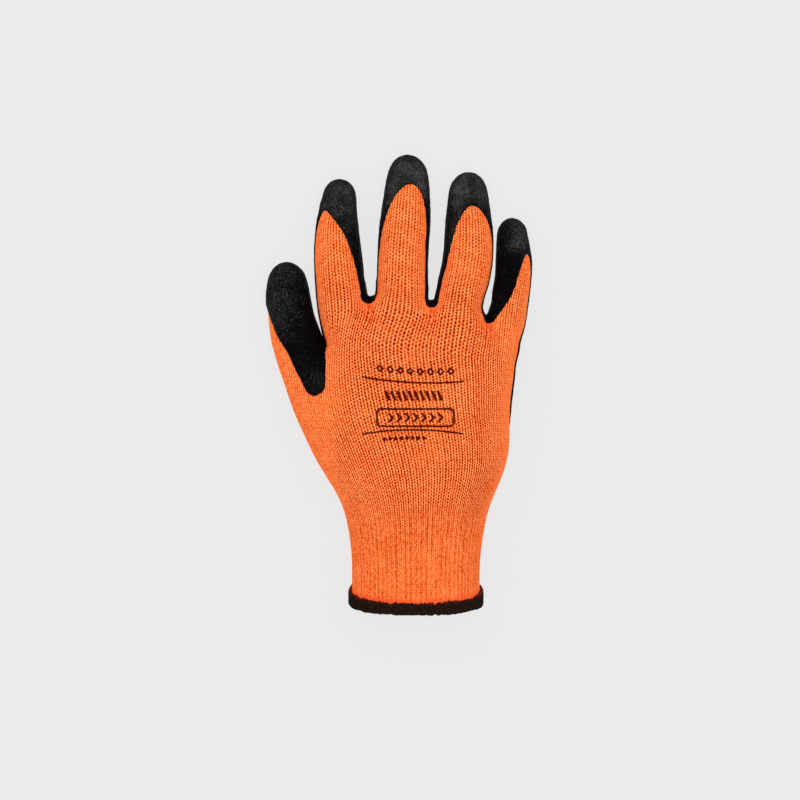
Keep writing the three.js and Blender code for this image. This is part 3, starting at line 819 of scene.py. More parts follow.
    def build(self) -> "Surface":
        """Builds the whole net from the fingertips to the cuff and smooths it."""
        roots = self.finger_roots()
        for digit, root in zip(FINGERS, roots):
            self.add_digit(digit, root)
        index, middle, third, little = (root.ring for root in roots)
        ring = index[:HALF] + middle[2:HALF] + third[2:HALF] + little[2:HALF + 1]
        ring += little[HALF + 1:] + third[HALF + 2:] + middle[HALF + 2:] + index[HALF + 2:]
        ring = self.add_thumb(self.add_knuckles(ring))
        hand = self.profile(ring)
        ridge = KNUCKLE_ROWS[-1].high * self.palm_height
        for row in PALM_ROWS:
            y = self.wrist_y + row.at * self.palm_length
            along = (self.thumb_web_y - y) / (self.thumb_web_y - self.wrist_y)
            fall = (self.thumb_web_y - self.palm_edge_y) * (1 - ease(along / self.edge_fade))
            ring = self.add_row(
                ring, hand, row, self.palm_width, row.high * self.palm_height, ridge,
                lambda across, y=y, fall=fall: y - fall * across, self.coated_lift, Zone.PALM,
            )
        end_y = self.wrist_y - self.cuff_length
        places = [(self.wrist_y - row.at * self.cuff_length, row) for row in CUFF_ROWS]
        places += [(end_y + self.binding_depth, BOUND), (end_y + self.bound_lift, OPENING)]
        for y, row in places:
            lift = mix(self.coated_lift, self.bound_lift, ease(row.slant))
            ring = self.add_row(
                ring, hand, row, self.cuff_width, row.high * self.cuff_height, self.cuff_height,
                lambda across, y=y: y, lift, Zone.CUFF,
            )
        LOG.info("net: %d points, %d faces", len(self.net.points), len(self.net.faces))
        surface = Surface(self.net)
        surface.coat(self)
        return surface

    def add_knuckles(self, ring: list[int]) -> list[int]:
        """Adds the rows from the finger roots down to the web of the thumb."""
        fingers = self.profile(ring)
        first, last = WEBS[0], WEBS[-1]
        span = last.side - first.side
        line = [Mark((web.side - first.side) / span, self.web_line(web) - self.web_back) for web in WEBS]
        for spec in KNUCKLE_ROWS:
            row = Row(
                spec.at,
                mix(first.side, THUMB_WEB.side, spec.at),
                mix(last.side, PALM_EDGE.side, spec.at),
                spec.high,
                self.knuckle_lean,
                spec.settle,
            )
            ring = self.add_row(
                ring, fingers, row, self.palm_width, spec.high * self.palm_height,
                self.web_height + self.root_high / 2,
                lambda across, at=spec.at: mix(
                    read(line, "value", across, smooth=True),
                    mix(self.thumb_web_y, self.palm_edge_y, across),
                    at,
                ),
                self.coated_lift, Zone.KNUCKLES,
            )
        return ring

    def add_thumb(self, ring: list[int]) -> list[int]:
        """Grows the thumb beside the palm.

        Args:
            ring: Ring of the palm at the web of the thumb.

        Returns:
            The ring round thumb and palm.
        """
        centre_x = (THUMB_EDGE.side + THUMB_WEB.side) / 2 * self.palm_width
        centre = (centre_x, self.web_line(THUMB_EDGE), self.thumb_line)
        wide = (THUMB_WEB.side - THUMB_EDGE.side) * self.palm_width
        last = len(ring) - 1
        shared = (ring[1], ring[0], ring[last])
        for number, side in zip(shared, (1, 0, -1)):
            y = self.thumb_web_y - abs(side) * self.web_back
            z = self.thumb_line + side * self.web_fold
            self.net.points[number] = [THUMB_WEB.side * self.palm_width, y, z]
            self.net.bare[number] = THUMB_WEB_BARE
        fixed = dict(zip((HALF - 1, HALF, HALF + 1), shared))
        root = self.root_ring(THUMB, centre, wide, THUMB.width * self.thumb_high, fixed, self.web_back)
        self.add_digit(THUMB, root)
        return root.ring[:HALF] + ring[2:last] + root.ring[HALF + 1:]


class Surface:
    """Smooth surface of a net, with eight by eight cells on every face."""

    LEVELS = 3
    BLEND = 0.5  # millimetres over which two coated patches run together
    SQUARE = 2.8  # how square the bands at the webs are, with 2 for an ellipse
    FAR = 9.0  # distances from the coating's edge are kept within this
    TONGUE_SIDE = -0.37  # the tongue lies beyond this share of the palm's width
    SINK = 0.5  # how fast the bands at the webs end towards the palm's side
    GAP_STEEP = 0.1  # least upward part of the direction where the thumb's edge line cuts

    def __init__(self, net: Net) -> None:
        """Refines the net.

        Args:
            net: The net of control points.
        """
        values = np.column_stack([np.array(net.points), net.bare, net.lifts])
        faces = np.array(net.faces)
        count = len(faces)
        owner = np.arange(count)
        row = np.zeros(count, int)
        column = np.zeros(count, int)
        for _ in range(self.LEVELS):
            values, faces = self.refine(values, faces)
            owner = np.repeat(owner, 4)
            row = np.repeat(row * 2, 4) + np.tile([0, 0, 1, 1], len(row))
            column = np.repeat(column * 2, 4) + np.tile([0, 1, 1, 0], len(column))
        self.cells = 2**self.LEVELS
        self.quads = faces
        self.points = values[:, :3].copy()
        self.points[:, 2] = np.maximum(self.points[:, 2], values[:, 4])
        self.bare = values[:, 3]
        self.grid = np.zeros((count, self.cells + 1, self.cells + 1), int)
        for corner, (down, right) in enumerate(((0, 0), (0, 1), (1, 1), (1, 0))):
            self.grid[owner, row + down, column + right] = faces[:, corner]
        self.columns = np.array(net.columns)
        self.courses = np.array(net.courses)
        self.spread_gaps()
        for spec in PULLS:
            self.pull(spec)
        self.normals = self.find_normals()
        self.distance = self.find_distance()

    def coat(self, form: "GloveForm") -> None:
        """Lays the coating's tongue and its bands at the webs over the plain distances.

        Args:
            form: Sizes of the glove.
        """
        x, y, z = self.points.T
        at = (y - form.wrist_y) / form.palm_length
        up = self.normals[:, 2]
        middle, half = (read_all(TONGUE, column, at) * form.palm_width for column in ("middle", "half"))
        back = (up > 0) & (at < TONGUE[-1].at) & (x < self.TONGUE_SIDE * form.palm_width)
        self.add_coat(np.where(back, np.abs(x - middle) - half, self.FAR), self.BLEND * 2)
        line = THUMB_EDGE_LINE
        past = x - line.x + np.maximum(0, y - line.bend_y) * line.lean
        beside = (up > self.GAP_STEEP) & (past > -line.reach) & (y > line.low) & (y < line.high)
        self.distance = np.where(beside, np.maximum(self.distance, past), self.distance)
        for gap in GAP_ENDS:
            across = np.abs((x - gap.band_x) / gap.band_wide) ** self.SQUARE
            along = np.abs((y - gap.band_y) / gap.band_deep) ** self.SQUARE
            reach = (across + along) ** (1 / self.SQUARE)
            band = (reach - 1) * (gap.band_wide + gap.band_deep) / 2
            self.add_coat(band + np.maximum(0, form.web_height - z) * self.SINK, self.BLEND)

    def add_coat(self, distance: np.ndarray, blend: float) -> None:
        """Joins another coated patch to the coating.

        Args:
            distance: Millimetres from the patch's edge, negative inside.
            blend: How softly the two edges run together.
        """
        self.distance = -blend * np.logaddexp(-distance / blend, -self.distance / blend)

    def pull(self, spec: Pull) -> None:
        """Pulls the surface to the right and towards the cuff round one place."""
        x, y = self.points[:, 0], self.points[:, 1]
        share = np.exp(-(((x - spec.x) / spec.wide) ** 2) - ((y - spec.y) / spec.long) ** 2)
        self.points[:, 0] += spec.right * share
        self.points[:, 1] -= spec.back * share

    def spread_gaps(self) -> None:
        """Rounds the ends of the gaps between the fingers, which the plain net leaves sharp."""
        for gap in GAP_ENDS:
            off = self.points[:, 0] - gap.x
            rise = self.points[:, 1] - gap.y
            left, right = (read_all(gap.spread, side, rise) for side in ("left", "right"))
            near = smooth_step(np.abs(off), 0, 0.15) * (1 - smooth_step(np.abs(off), 2, 11))
            self.points[:, 0] += np.where(off < 0, -left, right) * near

    @staticmethod
    def refine(values: np.ndarray, faces: np.ndarray) -> tuple[np.ndarray, np.ndarray]:
        """Splits each face in four and smooths the points.

        Args:
            values: One row of numbers for each point.
            faces: Four point numbers for each face.

        Returns:
            The new values and the new faces.
        """
        pairs = np.sort(np.stack([faces, np.roll(faces, -1, 1)], -1).reshape(-1, 2), 1)
        edges, inverse, uses = np.unique(pairs, axis=0, return_inverse=True, return_counts=True)
        inverse = inverse.reshape(-1, 4)
        centres = values[faces].mean(1)
        middles = values[edges].mean(1)
        beside = np.zeros_like(middles)
        np.add.at(beside, inverse.ravel(), np.repeat(centres, 4, 0))
        inner = (uses == 2)[:, None]
        edge_points = np.where(inner, (middles * 2 + beside) / 4, middles)
        size = len(values)
        valence = np.bincount(edges.ravel(), minlength=size)[:, None]
        edge_sum = np.zeros_like(values)
        np.add.at(edge_sum, edges.ravel(), np.repeat(middles, 2, 0))
        face_sum = np.zeros_like(values)
        np.add.at(face_sum, faces.ravel(), np.repeat(centres, 4, 0))
        face_count = np.bincount(faces.ravel(), minlength=size)[:, None]
        soft = (face_sum / face_count + 2 * edge_sum / valence + (valence - 3) * values) / valence
        rim = edges[uses == 1]
        rim_sum = np.zeros_like(values)
        np.add.at(rim_sum, rim.ravel(), np.repeat(middles[uses == 1], 2, 0))
        on_rim = np.zeros(size, bool)
        on_rim[rim.ravel()] = True
        soft = np.where(on_rim[:, None], values / 2 + rim_sum / 4, soft)
        centre_ids = size + np.arange(len(faces))
        edge_ids = size + len(faces) + inverse
        a, b, c, d = faces.T
        ab, bc, cd, da = edge_ids.T
        middle = centre_ids
        children = np.stack([
            np.stack([a, ab, middle, da], 1),
            np.stack([ab, b, bc, middle], 1),
            np.stack([middle, bc, c, cd], 1),
            np.stack([da, middle, cd, d], 1),
        ], 1).reshape(-1, 4)
        return np.concatenate([soft, centres, edge_points]), children

    def find_normals(self) -> np.ndarray:
        """Outward direction at every point."""
        corners = self.points[self.quads]
        cross = np.cross(corners[:, 2] - corners[:, 0], corners[:, 3] - corners[:, 1])
        total = np.zeros_like(self.points)
        np.add.at(total, self.quads.ravel(), np.repeat(cross, 4, 0))
        return total / np.maximum(np.linalg.norm(total, axis=1, keepdims=True), 1e-12)

    def find_distance(self) -> np.ndarray:
        """Millimetres from the coating's edge at every point, positive on the bare knit."""
        p = self.points[self.quads]
        b = self.bare[self.quads]
        across = (p[:, 1] + p[:, 2] - p[:, 0] - p[:, 3]) / 2
        along = (p[:, 3] + p[:, 2] - p[:, 0] - p[:, 1]) / 2
        bare_across = (b[:, 1] + b[:, 2] - b[:, 0] - b[:, 3]) / 2
        bare_along = (b[:, 3] + b[:, 2] - b[:, 0] - b[:, 1]) / 2
        e = (across**2).sum(1)
        f = (across * along).sum(1)
        g = (along**2).sum(1)
        area = np.maximum(e * g - f * f, 1e-9)
        slope = (g * bare_across**2 - 2 * f * bare_across * bare_along + e * bare_along**2) / area
        slope = np.sqrt(np.maximum(slope, 1e-9))
        total = np.zeros(len(self.points))
        uses = np.zeros(len(self.points))
        np.add.at(total, self.quads.ravel(), np.repeat(slope, 4))
        np.add.at(uses, self.quads.ravel(), 1)
        steep = np.maximum(total / uses, 1.5)
        return np.clip(self.bare / steep, -self.FAR, self.FAR)

    def sample(
        self, values: np.ndarray, faces: np.ndarray, across: np.ndarray, along: np.ndarray
    ) -> np.ndarray:
        """Reads values of the points at shares of some faces.

        Args:
            values: One row of numbers for each point.
            faces: Numbers of the net's faces.
            across: Shares across a face.
            along: Shares along a face.

        Returns:
            An array of faces by along by across by numbers.
        """
        grid = values.reshape(len(values), -1)[self.grid[faces]]
        row = np.minimum((along * self.cells).astype(int), self.cells - 1)
        column = np.minimum((across * self.cells).astype(int), self.cells - 1)
        down = (along * self.cells - row)[None, :, None, None]
        right = (across * self.cells - column)[None, None, :, None]
        upper, lower = (
            line[:, :, column] * (1 - right) + line[:, :, column + 1] * right
            for line in (grid[:, row], grid[:, row + 1])
        )
        return upper * (1 - down) + lower * down

    def places(
        self, faces: np.ndarray, across: np.ndarray, along: np.ndarray
    ) -> tuple[np.ndarray, np.ndarray]:
        """Points and directions at shares of some faces."""
        points = self.sample(self.points, faces, across, along)
        return points, self.sample(self.normals, faces, across, along)


def link_object(name: str, data: bpy.types.ID) -> bpy.types.Object:
    """Makes an object and links it to the scene."""
    made = bpy.data.objects.new(name, data)
    bpy.context.scene.collection.objects.link(made)
    return made


class MeshDraft:
    """Gathers the faces of one piece, with stitch coordinates at their corners."""

    def __init__(self, name: str) -> None:
        """Starts an empty draft of a piece."""
        self.name = name
        self.points: list[np.ndarray] = []
        self.coords: list[np.ndarray] = []
        self.values: list[np.ndarray] = []
        self.faces: list[list[int]] = []
        self.count = 0

    def sheet(self, points: np.ndarray, coords: np.ndarray, values: np.ndarray, flip: bool = False) -> None:
        """Adds patches of quads.

        Args:
            points: Patches by rows by columns by 3, in millimetres.
            coords: Patches by rows by columns by 2.
            values: Patches by rows by columns.
            flip: Whether the faces look the other way.
        """
        patches, rows, columns = points.shape[:3]
        ids = self.count + np.arange(patches * rows * columns).reshape(patches, rows, columns)
        corners = (ids[:, :-1, :-1], ids[:, :-1, 1:], ids[:, 1:, 1:], ids[:, 1:, :-1])
        quads = np.stack(corners, -1).reshape(-1, 4)
        self.faces.extend((quads[:, ::-1] if flip else quads).tolist())
        self.points.append(points.reshape(-1, 3))
        self.coords.append(coords.reshape(-1, 2))
        self.values.append(values.reshape(-1))
        self.count += ids.size

    def polygons(self, points: np.ndarray, faces: list[list[int]], values: np.ndarray) -> None:
        """Adds loose polygons.

        Args:
            points: Places in millimetres.
            faces: Point numbers of each polygon.
            values: One value for each point.
        """
        self.faces.extend([[self.count + i for i in face] for face in faces])
        self.points.append(points)
        self.coords.append(np.zeros((len(points), 2)))
        self.values.append(values)
        self.count += len(points)

    def make(self, material: bpy.types.Material) -> bpy.types.Object:
        """Makes the piece's object, with points that coincide merged.

        Args:
            material: Finish of the piece.

        Returns:
            The new object.
        """
        points = np.concatenate(self.points)
        coords = np.concatenate(self.coords)
        values = np.concatenate(self.values)
        cells = np.round(points * MERGE_CELLS).astype(np.int64)
        _, first, inverse = np.unique(cells, axis=0, return_index=True, return_inverse=True)
        inverse = inverse.ravel()
        faces = []
        corners = []
        for face in self.faces:
            merged = [int(inverse[i]) for i in face]
            kept = [i for i, number in enumerate(merged) if number != merged[i - 1]]
            if len(kept) > 2 and len({merged[i] for i in kept}) == len(kept):
                faces.append([merged[i] for i in kept])
                corners.extend(face[i] for i in kept)
        mesh = bpy.data.meshes.new(self.name)
        mesh.from_pydata((points[first] * MM).tolist(), [], faces)
        layer = mesh.uv_layers.new(name=STITCH_MAP)
        layer.uv.foreach_set("vector", coords[corners].astype(np.float32).ravel())
        openness = mesh.attributes.new(OPEN_NAME, "FLOAT", "POINT")
        openness.data.foreach_set("value", values[first].astype(np.float32))
        mesh.polygons.foreach_set("use_smooth", [True] * len(faces))
        mesh.materials.append(material)
        mesh.update()
        made = link_object(self.name, mesh)
        LOG.info("%s: %d points, %d faces", self.name, len(first), len(faces))
        return made


def operator(operation: str, swap: bool = False) -> Callable[["Wire", Number], "Wire"]:
    """Makes a method of a wire that takes one more value.

    Args:
        operation: Operation of its Math node.
        swap: Whether the other value comes first.

    Returns:
        The method.
    """

    def method(self: "Wire", other: Number) -> "Wire":
        """Adds the Math node."""
        return self.math(operation, other, swap=swap)

    return method


class Wire:
    """Shader socket that can be used in arithmetic."""

    def __init__(self, finish: "Finish", socket: bpy.types.NodeSocket) -> None:
        """Wraps an output socket of a finish."""
        self.finish = finish
        self.socket = socket

    def math(self, operation: str, *others: Number, swap: bool = False) -> "Wire":
        """Adds a Math node on this value.

        Args:
            operation: The node's operation.
            others: The other values.
            swap: Whether the first of them comes before this one.

        Returns:
            The node's value.
        """
        values = (others[0], self) if swap else (self, *others)
        return self.finish.node("ShaderNodeMath", {"operation": operation}, dict(enumerate(values)))

    __add__ = __radd__ = operator("ADD")
    __mul__ = __rmul__ = operator("MULTIPLY")
    __sub__, __rsub__ = operator("SUBTRACT"), operator("SUBTRACT", swap=True)
    __truediv__, __rtruediv__ = operator("DIVIDE"), operator("DIVIDE", swap=True)
    __pow__, __rpow__ = operator("POWER"), operator("POWER", swap=True)
    least, most = operator("MINIMUM"), operator("MAXIMUM")

    def __neg__(self) -> "Wire":
        """Negative."""
        return self * -1.0

    def __abs__(self) -> "Wire":
        """Size without its sign."""
        return self.math("ABSOLUTE")

    def fract(self) -> "Wire":
        """Part after the point."""
        return self.math("FRACT")

    def sine(self) -> "Wire":
        """Sine."""
        return self.math("SINE")

    def step(self, low: float, high: float) -> "Wire":
        """Smooth step from 0 at low to 1 at high, or the other way round."""
        settings = {"interpolation_type": "SMOOTHSTEP", "clamp": True}
        ends = (0.0, 1.0) if low < high else (1.0, 0.0)
        inputs = {0: self, 1: min(low, high), 2: max(low, high), 3: ends[0], 4: ends[1]}
        return self.finish.node("ShaderNodeMapRange", settings, inputs)


class Finish:
    """Procedural material of one piece."""

    def __init__(self, name: str) -> None:
        """Starts a material with one Principled shader."""
        self.material = bpy.data.materials.new(name)
        self.material.use_nodes = True
        self.tree = self.material.node_tree
        self.tree.nodes.clear()
        self.shader = self.tree.nodes.new("ShaderNodeBsdfPrincipled")
        output = self.tree.nodes.new("ShaderNodeOutputMaterial")
        self.tree.links.new(self.shader.outputs[0], output.inputs[0])

    def node(
        self, kind: str, settings: dict | None = None, inputs: dict | None = None, output: int | str = 0
    ) -> Wire:
        """Adds a node.

        Args:
            kind: The node's type.
            settings: Its settings, set first.
            inputs: Values or wires of its sockets.
            output: The output that is wrapped.

        Returns:
            That output.
        """
        made = self.tree.nodes.new(kind)
        for name, value in (settings or {}).items():
            setattr(made, name, value)
        for name, value in (inputs or {}).items():
            self.feed(made.inputs[name], value)
        return Wire(self, made.outputs[output])

    def feed(self, socket: bpy.types.NodeSocket, value: object) -> None:
        """Links or sets one socket."""
        if isinstance(value, Wire):
            self.tree.links.new(value.socket, socket)
        elif isinstance(value, tuple) and len(value) == 3 and socket.type == "RGBA":
            socket.default_value = (*value, 1.0)
        else:
            socket.default_value = value

    def set(self, **values: object) -> None:
        """Feeds sockets of the shader, named with underscores for spaces."""
        for name, value in values.items():
            self.feed(self.shader.inputs[name.replace("_", " ")], value)

    def blend(self, factor: Number, first: object, second: object, kind: str = "MIX") -> Wire:
        """Mixes two colours."""
        settings = {"data_type": "RGBA", "blend_type": kind}
        return self.node("ShaderNodeMix", settings, {0: factor, 6: first, 7: second}, 2)

    def place(self) -> Wire:
        """Coordinates of the object in metres."""
        return self.node("ShaderNodeTexCoord", output="Object")

    def millimetres(self, place: Wire) -> tuple[Wire, ...]:
        """Three parts of a place, in millimetres."""
        return tuple(part * (1 / MM) for part in self.split(place))

    def stitches(self) -> tuple[Wire, Wire, Wire]:
        """Place on the knit: wales across, courses along and nothing."""
        return self.split(self.node("ShaderNodeUVMap", {"uv_map": STITCH_MAP}))

    def openness(self) -> Wire:
        """The value that the builders give each point."""
        return self.node("ShaderNodeAttribute", {"attribute_name": OPEN_NAME}, output="Fac")

    def pair(self, first: Number, second: Number) -> Wire:
        """Vector of two numbers."""
        return self.node("ShaderNodeCombineXYZ", None, {0: first, 1: second})

    def split(self, vector: Wire) -> tuple[Wire, Wire, Wire]:
        """Three parts of a vector."""
        first = self.node("ShaderNodeSeparateXYZ", None, {0: vector})
        outputs = first.socket.node.outputs
        return first, Wire(self, outputs[1]), Wire(self, outputs[2])

    def grain(self, size: float, vector: Wire, detail: float = 2.0, rough: float = 0.5) -> Wire:
        """Noise from 0 to 1 with bumps of a size in millimetres."""
        inputs = {"Vector": vector, "Scale": 1 / (size * MM), "Detail": detail, "Roughness": rough}
        return self.node("ShaderNodeTexNoise", None, inputs)

    def bump(self, height: Wire, depth: float, strength: float = 1.0, normal: Wire | None = None) -> Wire:
        """Bump of a height from 0 to 1 and a depth in millimetres."""
        inputs = {"Height": height, "Distance": depth * MM, "Strength": strength}
        if normal:
            inputs["Normal"] = normal
        return self.node("ShaderNodeBump", None, inputs)


@dataclass(frozen=True)
class KnitFinish:
    """Orange polyester knit: wales of V stitches, with small holes between them, painted dark as shade.
    Painted shade also lies in the valleys of the stitches, in the cuff's rib grooves and in the creases under
    the webs, and a painted glow lifts the knit's shaded sides.
    """

    # light and deep carry both the painted light and shade of the stitch relief and the yarn's random tone
    light: Colour = (1.0, 0.345, 0.112)
    body: Colour = (0.92, 0.15, 0.026)
    deep: Colour = (0.46, 0.038, 0.0)
    hole_shade: Colour = (0.13, 0.001, 0.0)
    ink: Colour = (0.06, 0.003, 0.001)
    # painted glow: the knit gives off its own orange light, which stands in for the fluorescence of its dye
    # and lifts the knit's shaded sides
    glow_tint: Colour = (1.0, 0.2, 0.08)
    glow: float = 0.175
    hole_size: float = 0.33
    hole_shape: float = 0.8
    hem: Colour = (1.0, 0.085, 0.02)
    crease_shade: Colour = (0.62, 0.06, 0.008)
    stitch_depth: float = 0.4
    rib: float = 2.4
    streak: float = 24.0
    wrist_y: float = -57.2
    hem_line: float = -93.0
    hem_fade: float = 4.0
    hem_lean: float = 0.341
    crease_shade_side: float = 0.4
    crease_shade_back: float = 7.4
    crease_shade_wide: float = 2.0
    crease_shade_long: float = 1.7

    def make(self) -> bpy.types.Material:
        """Makes the material."""
        finish = Finish("orange_knit")
        place = finish.place()
        u, v, _ = finish.stitches()
        x, y, z = finish.millimetres(place)
        sway = finish.grain(2.6, place, 1.0)
        drift = finish.grain(1.9, place, 1.0)
        u = u + (sway - 0.5) * 0.3
        v = v + (drift - 0.5) * 0.4
        fibre = finish.grain(0.62, place, 3.0, 0.75)
        cloud = finish.grain(14, place, 2.0)
        off = abs(u.fract() - 0.5) * 2
        cuff = y.step(self.wrist_y + 3, self.wrist_y - 12)

        leg = (((v - off * 0.5).fract() * math.pi).sine()).most(0.001) ** 0.7
        wale = 1 - off**2.5
        streak = finish.grain(1 / MM, finish.pair(u * 0.5, y / self.streak), 1.0)
        # painted shade: darker streaks along the grooves between the cuff's ribs
        rib = (abs((u / self.rib).fract() - 0.5) * 2).step(0.2, 1.0) * streak.step(0.25, 0.6) * cuff
        cell = finish.pair((u * 2).math("FLOOR"), (v * 2 - off).math("FLOOR"))
        cell = finish.node("ShaderNodeTexWhiteNoise", {"noise_dimensions": "2D"}, {"Vector": cell})

        value = finish.openness()
        outside = (value + 1).most(0).least(1)
        patchy = finish.grain(9, place, 2.0).step(0.2, 0.55)
        openness = value.most(0) * (patchy * 0.3 + 0.7)
        spots = finish.grain(1.5, place, 1.0).step(0.32, 0.6)
        hole_shade, shade = self.hole_masks(u, v, openness)
        hole_shade = hole_shade * (spots * 0.45 + 0.6).least(1)

        speck = (fibre - 0.5) * 1.6 + (cell - 0.5) * (cuff * 0.2 + 0.5)
        # painted light and shade on the stitch relief: crests of the legs and wales lighter, valleys between
        # them darker, as in the bump below; the cuff's tone is lifted evenly
        stitch_shading = leg * (0.36 - cuff * 0.1) + wale * (0.26 - cuff * 0.14) + cuff * 0.2
        tone = stitch_shading + speck + (cloud - 0.5) * 0.3 + 0.22 - shade * 0.25 - rib * 0.42
        colour = finish.blend(tone.step(-0.15, 0.5), self.deep, self.body)
        colour = finish.blend(tone.step(0.4, 0.9) * (openness * 0.42 + 0.66), colour, self.light)
        # painted shade: the holes between the wales take a near-black red
        colour = finish.blend(hole_shade, colour, self.hole_shade)
        hem, crease_shade = self.hem_and_crease_masks(x, y, z)
        colour = finish.blend(hem * 0.6, colour, self.hem)
        # painted shade: darker red in the creases under the webs of the fingers
        colour = finish.blend(crease_shade * 0.5, colour, self.crease_shade)
        ink = self.ink_mask(finish, x, y, z)
        ink = (ink * (leg * 0.3 + 0.8 + (fibre - 0.5) * 0.5)).least(1)
        colour = finish.blend(ink, colour, self.ink)
        # painted glow: the knit's colour, tinted, is given off as light, on the outside only
        glow_colour = finish.blend(1.0, colour, self.glow_tint, "MULTIPLY")
        glow_colour = finish.blend(outside, (0.0, 0.0, 0.0), glow_colour)

        height = leg * 0.4 + wale * 0.6
        relief = height - hole_shade * 0.7
        normal = finish.bump(fibre, 0.12, 0.7, finish.bump(relief, self.stitch_depth, 0.85))
        finish.set(
            Base_Color=colour,
            Roughness=0.78 + fibre * 0.18,
            Normal=normal,
            Specular_IOR_Level=0.015,
            Sheen_Weight=0.01,
            Sheen_Roughness=0.5,
            Sheen_Tint=(1.0, 0.4, 0.15, 1.0),
            Emission_Color=glow_colour,
            Emission_Strength=self.glow,
        )
        return finish.material

    def hole_masks(self, u: Wire, v: Wire, openness: Wire) -> tuple[Wire, Wire]:
        """Holes between neighbouring wales, half a course higher in every other row of them.

        Args:
            u: Place across the wales.
            v: Place along the courses.
            openness: How open the holes are.

        Returns:
            Two masks: the holes, which are painted dark as shade, and the painted shade round them.
        """
        across = u.fract()
        rest = 1 - across
        parity = (u.math("FLOOR") / 2).fract() * 2
        left = abs((v - parity * 0.5).fract() - 0.5) * self.hole_shape
        right = abs((v + parity * 0.5 + 0.5).fract() - 0.5) * self.hole_shape
        reach = (across * across + left * left).least(rest * rest + right * right) ** 0.5
        odd = ((u + 0.5).math("FLOOR") / 2).fract() * 2
        hole_shade = reach.step(self.hole_size * 1.25, self.hole_size * 0.5)
        return hole_shade * (openness * (odd * 0.3 + 0.7)).least(1), reach.step(0.6, 0.2) * openness

    def hem_and_crease_masks(self, x: Wire, y: Wire, z: Wire) -> tuple[Wire, Wire]:
        """Places where the stretched yarn looks redder above the binding, and painted shade in the creases
        under the webs.

        Args:
            x: Place across the hand in millimetres.
            y: Place along the hand.
            z: Height.

        Returns:
            Two masks, 1 above the binding and 1 in the painted crease shade under the webs.
        """
        crease_shade: Number = 0.0
        for gap in GAP_ENDS:
            across = (x - gap.band_x - self.crease_shade_side) / self.crease_shade_wide
            along = (y - gap.band_y + self.crease_shade_back) / self.crease_shade_long
            crease_shade = (across * across + along * along).step(1.5, 0.1).most(crease_shade)
        hem = (y + z * self.hem_lean).step(self.hem_line, self.hem_line - self.hem_fade)
        return hem, crease_shade

    def ink_mask(self, finish: Finish, x: Wire, y: Wire, z: Wire) -> Wire:
        """Plain printed mark on the back of the hand: rules, bars, chevrons in a box and diamonds.

        Args:
            finish: The material that takes the nodes.
            x: Place across the hand in millimetres.
            y: Place along the hand.
            z: Height.

        Returns:
            1 where there is ink.
        """
        blur = finish.grain(0.9, finish.place(), 2.0)
        x = x + (blur - 0.5) * 0.7
        y = y + (blur - 0.5) * 0.7

        def band(value: Wire, half: float) -> Wire:
            """1 where a value is within half of 0."""
            return abs(value).step(half + 0.18, half - 0.18)

        def curve(middle: float, height: float, bend: float) -> Wire:
            """Distance above a bent line."""
            return y - height - (x - middle) * (x - middle) * bend

        def box(left: float, right: float, low: float, high: float, corner: float) -> Wire:
            """Distance outside a rounded box."""
            across = (abs(x - (left + right) / 2) - ((right - left) / 2 - corner)).most(0)
            along = (abs(y - (low + high) / 2) - ((high - low) / 2 - corner)).most(0)
            return (across * across + along * along) ** 0.5 - corner

        def bars(pitch: float, half: float, lean: Number) -> Wire:
            """Row of bars, shifted by lean."""
            return band((((x + lean) / pitch).fract() - 0.5) * pitch, half)

        def gems(pitch: float, rise: Wire, size: float, half: float) -> Wire:
            """Row of diamond outlines on a line."""
            return band(abs(((x / pitch).fract() - 0.5) * pitch) + abs(rise) - size, half)

        above = curve(middle=8, height=9.2, bend=0.0025)
        below = curve(middle=-1, height=-15.8, bend=-0.0031)
        rules = band(above, 0.5).most(band(below, 0.5)) * band(x + 1.4, 27.0)
        head = gems(pitch=5.4, rise=above - 6.0, size=1.6, half=0.7) * band(x, 21.6)
        lean = y * 0.4
        middle = bars(pitch=3.1, half=0.85, lean=lean) * band(y - 2.4, 2.7) * band(x + lean, 15.2)
        panel = band(box(left=-20.5, right=20.5, low=-13.9, high=-4.7, corner=2.2), 0.55)
        rise = y + 9.3
        chevrons = bars(pitch=4.4, half=0.85, lean=abs(rise) * 0.9 + 1.1) * band(rise, 2.5) * band(x, 15.4)
        foot = gems(pitch=3.0, rise=below + 4.4, size=0.1, half=1.3) * band(x + 6.0, 12.0)
        ink = rules.most(head).most(middle).most(panel).most(chevrons).most(foot)
        return ink * z.step(22, 24)


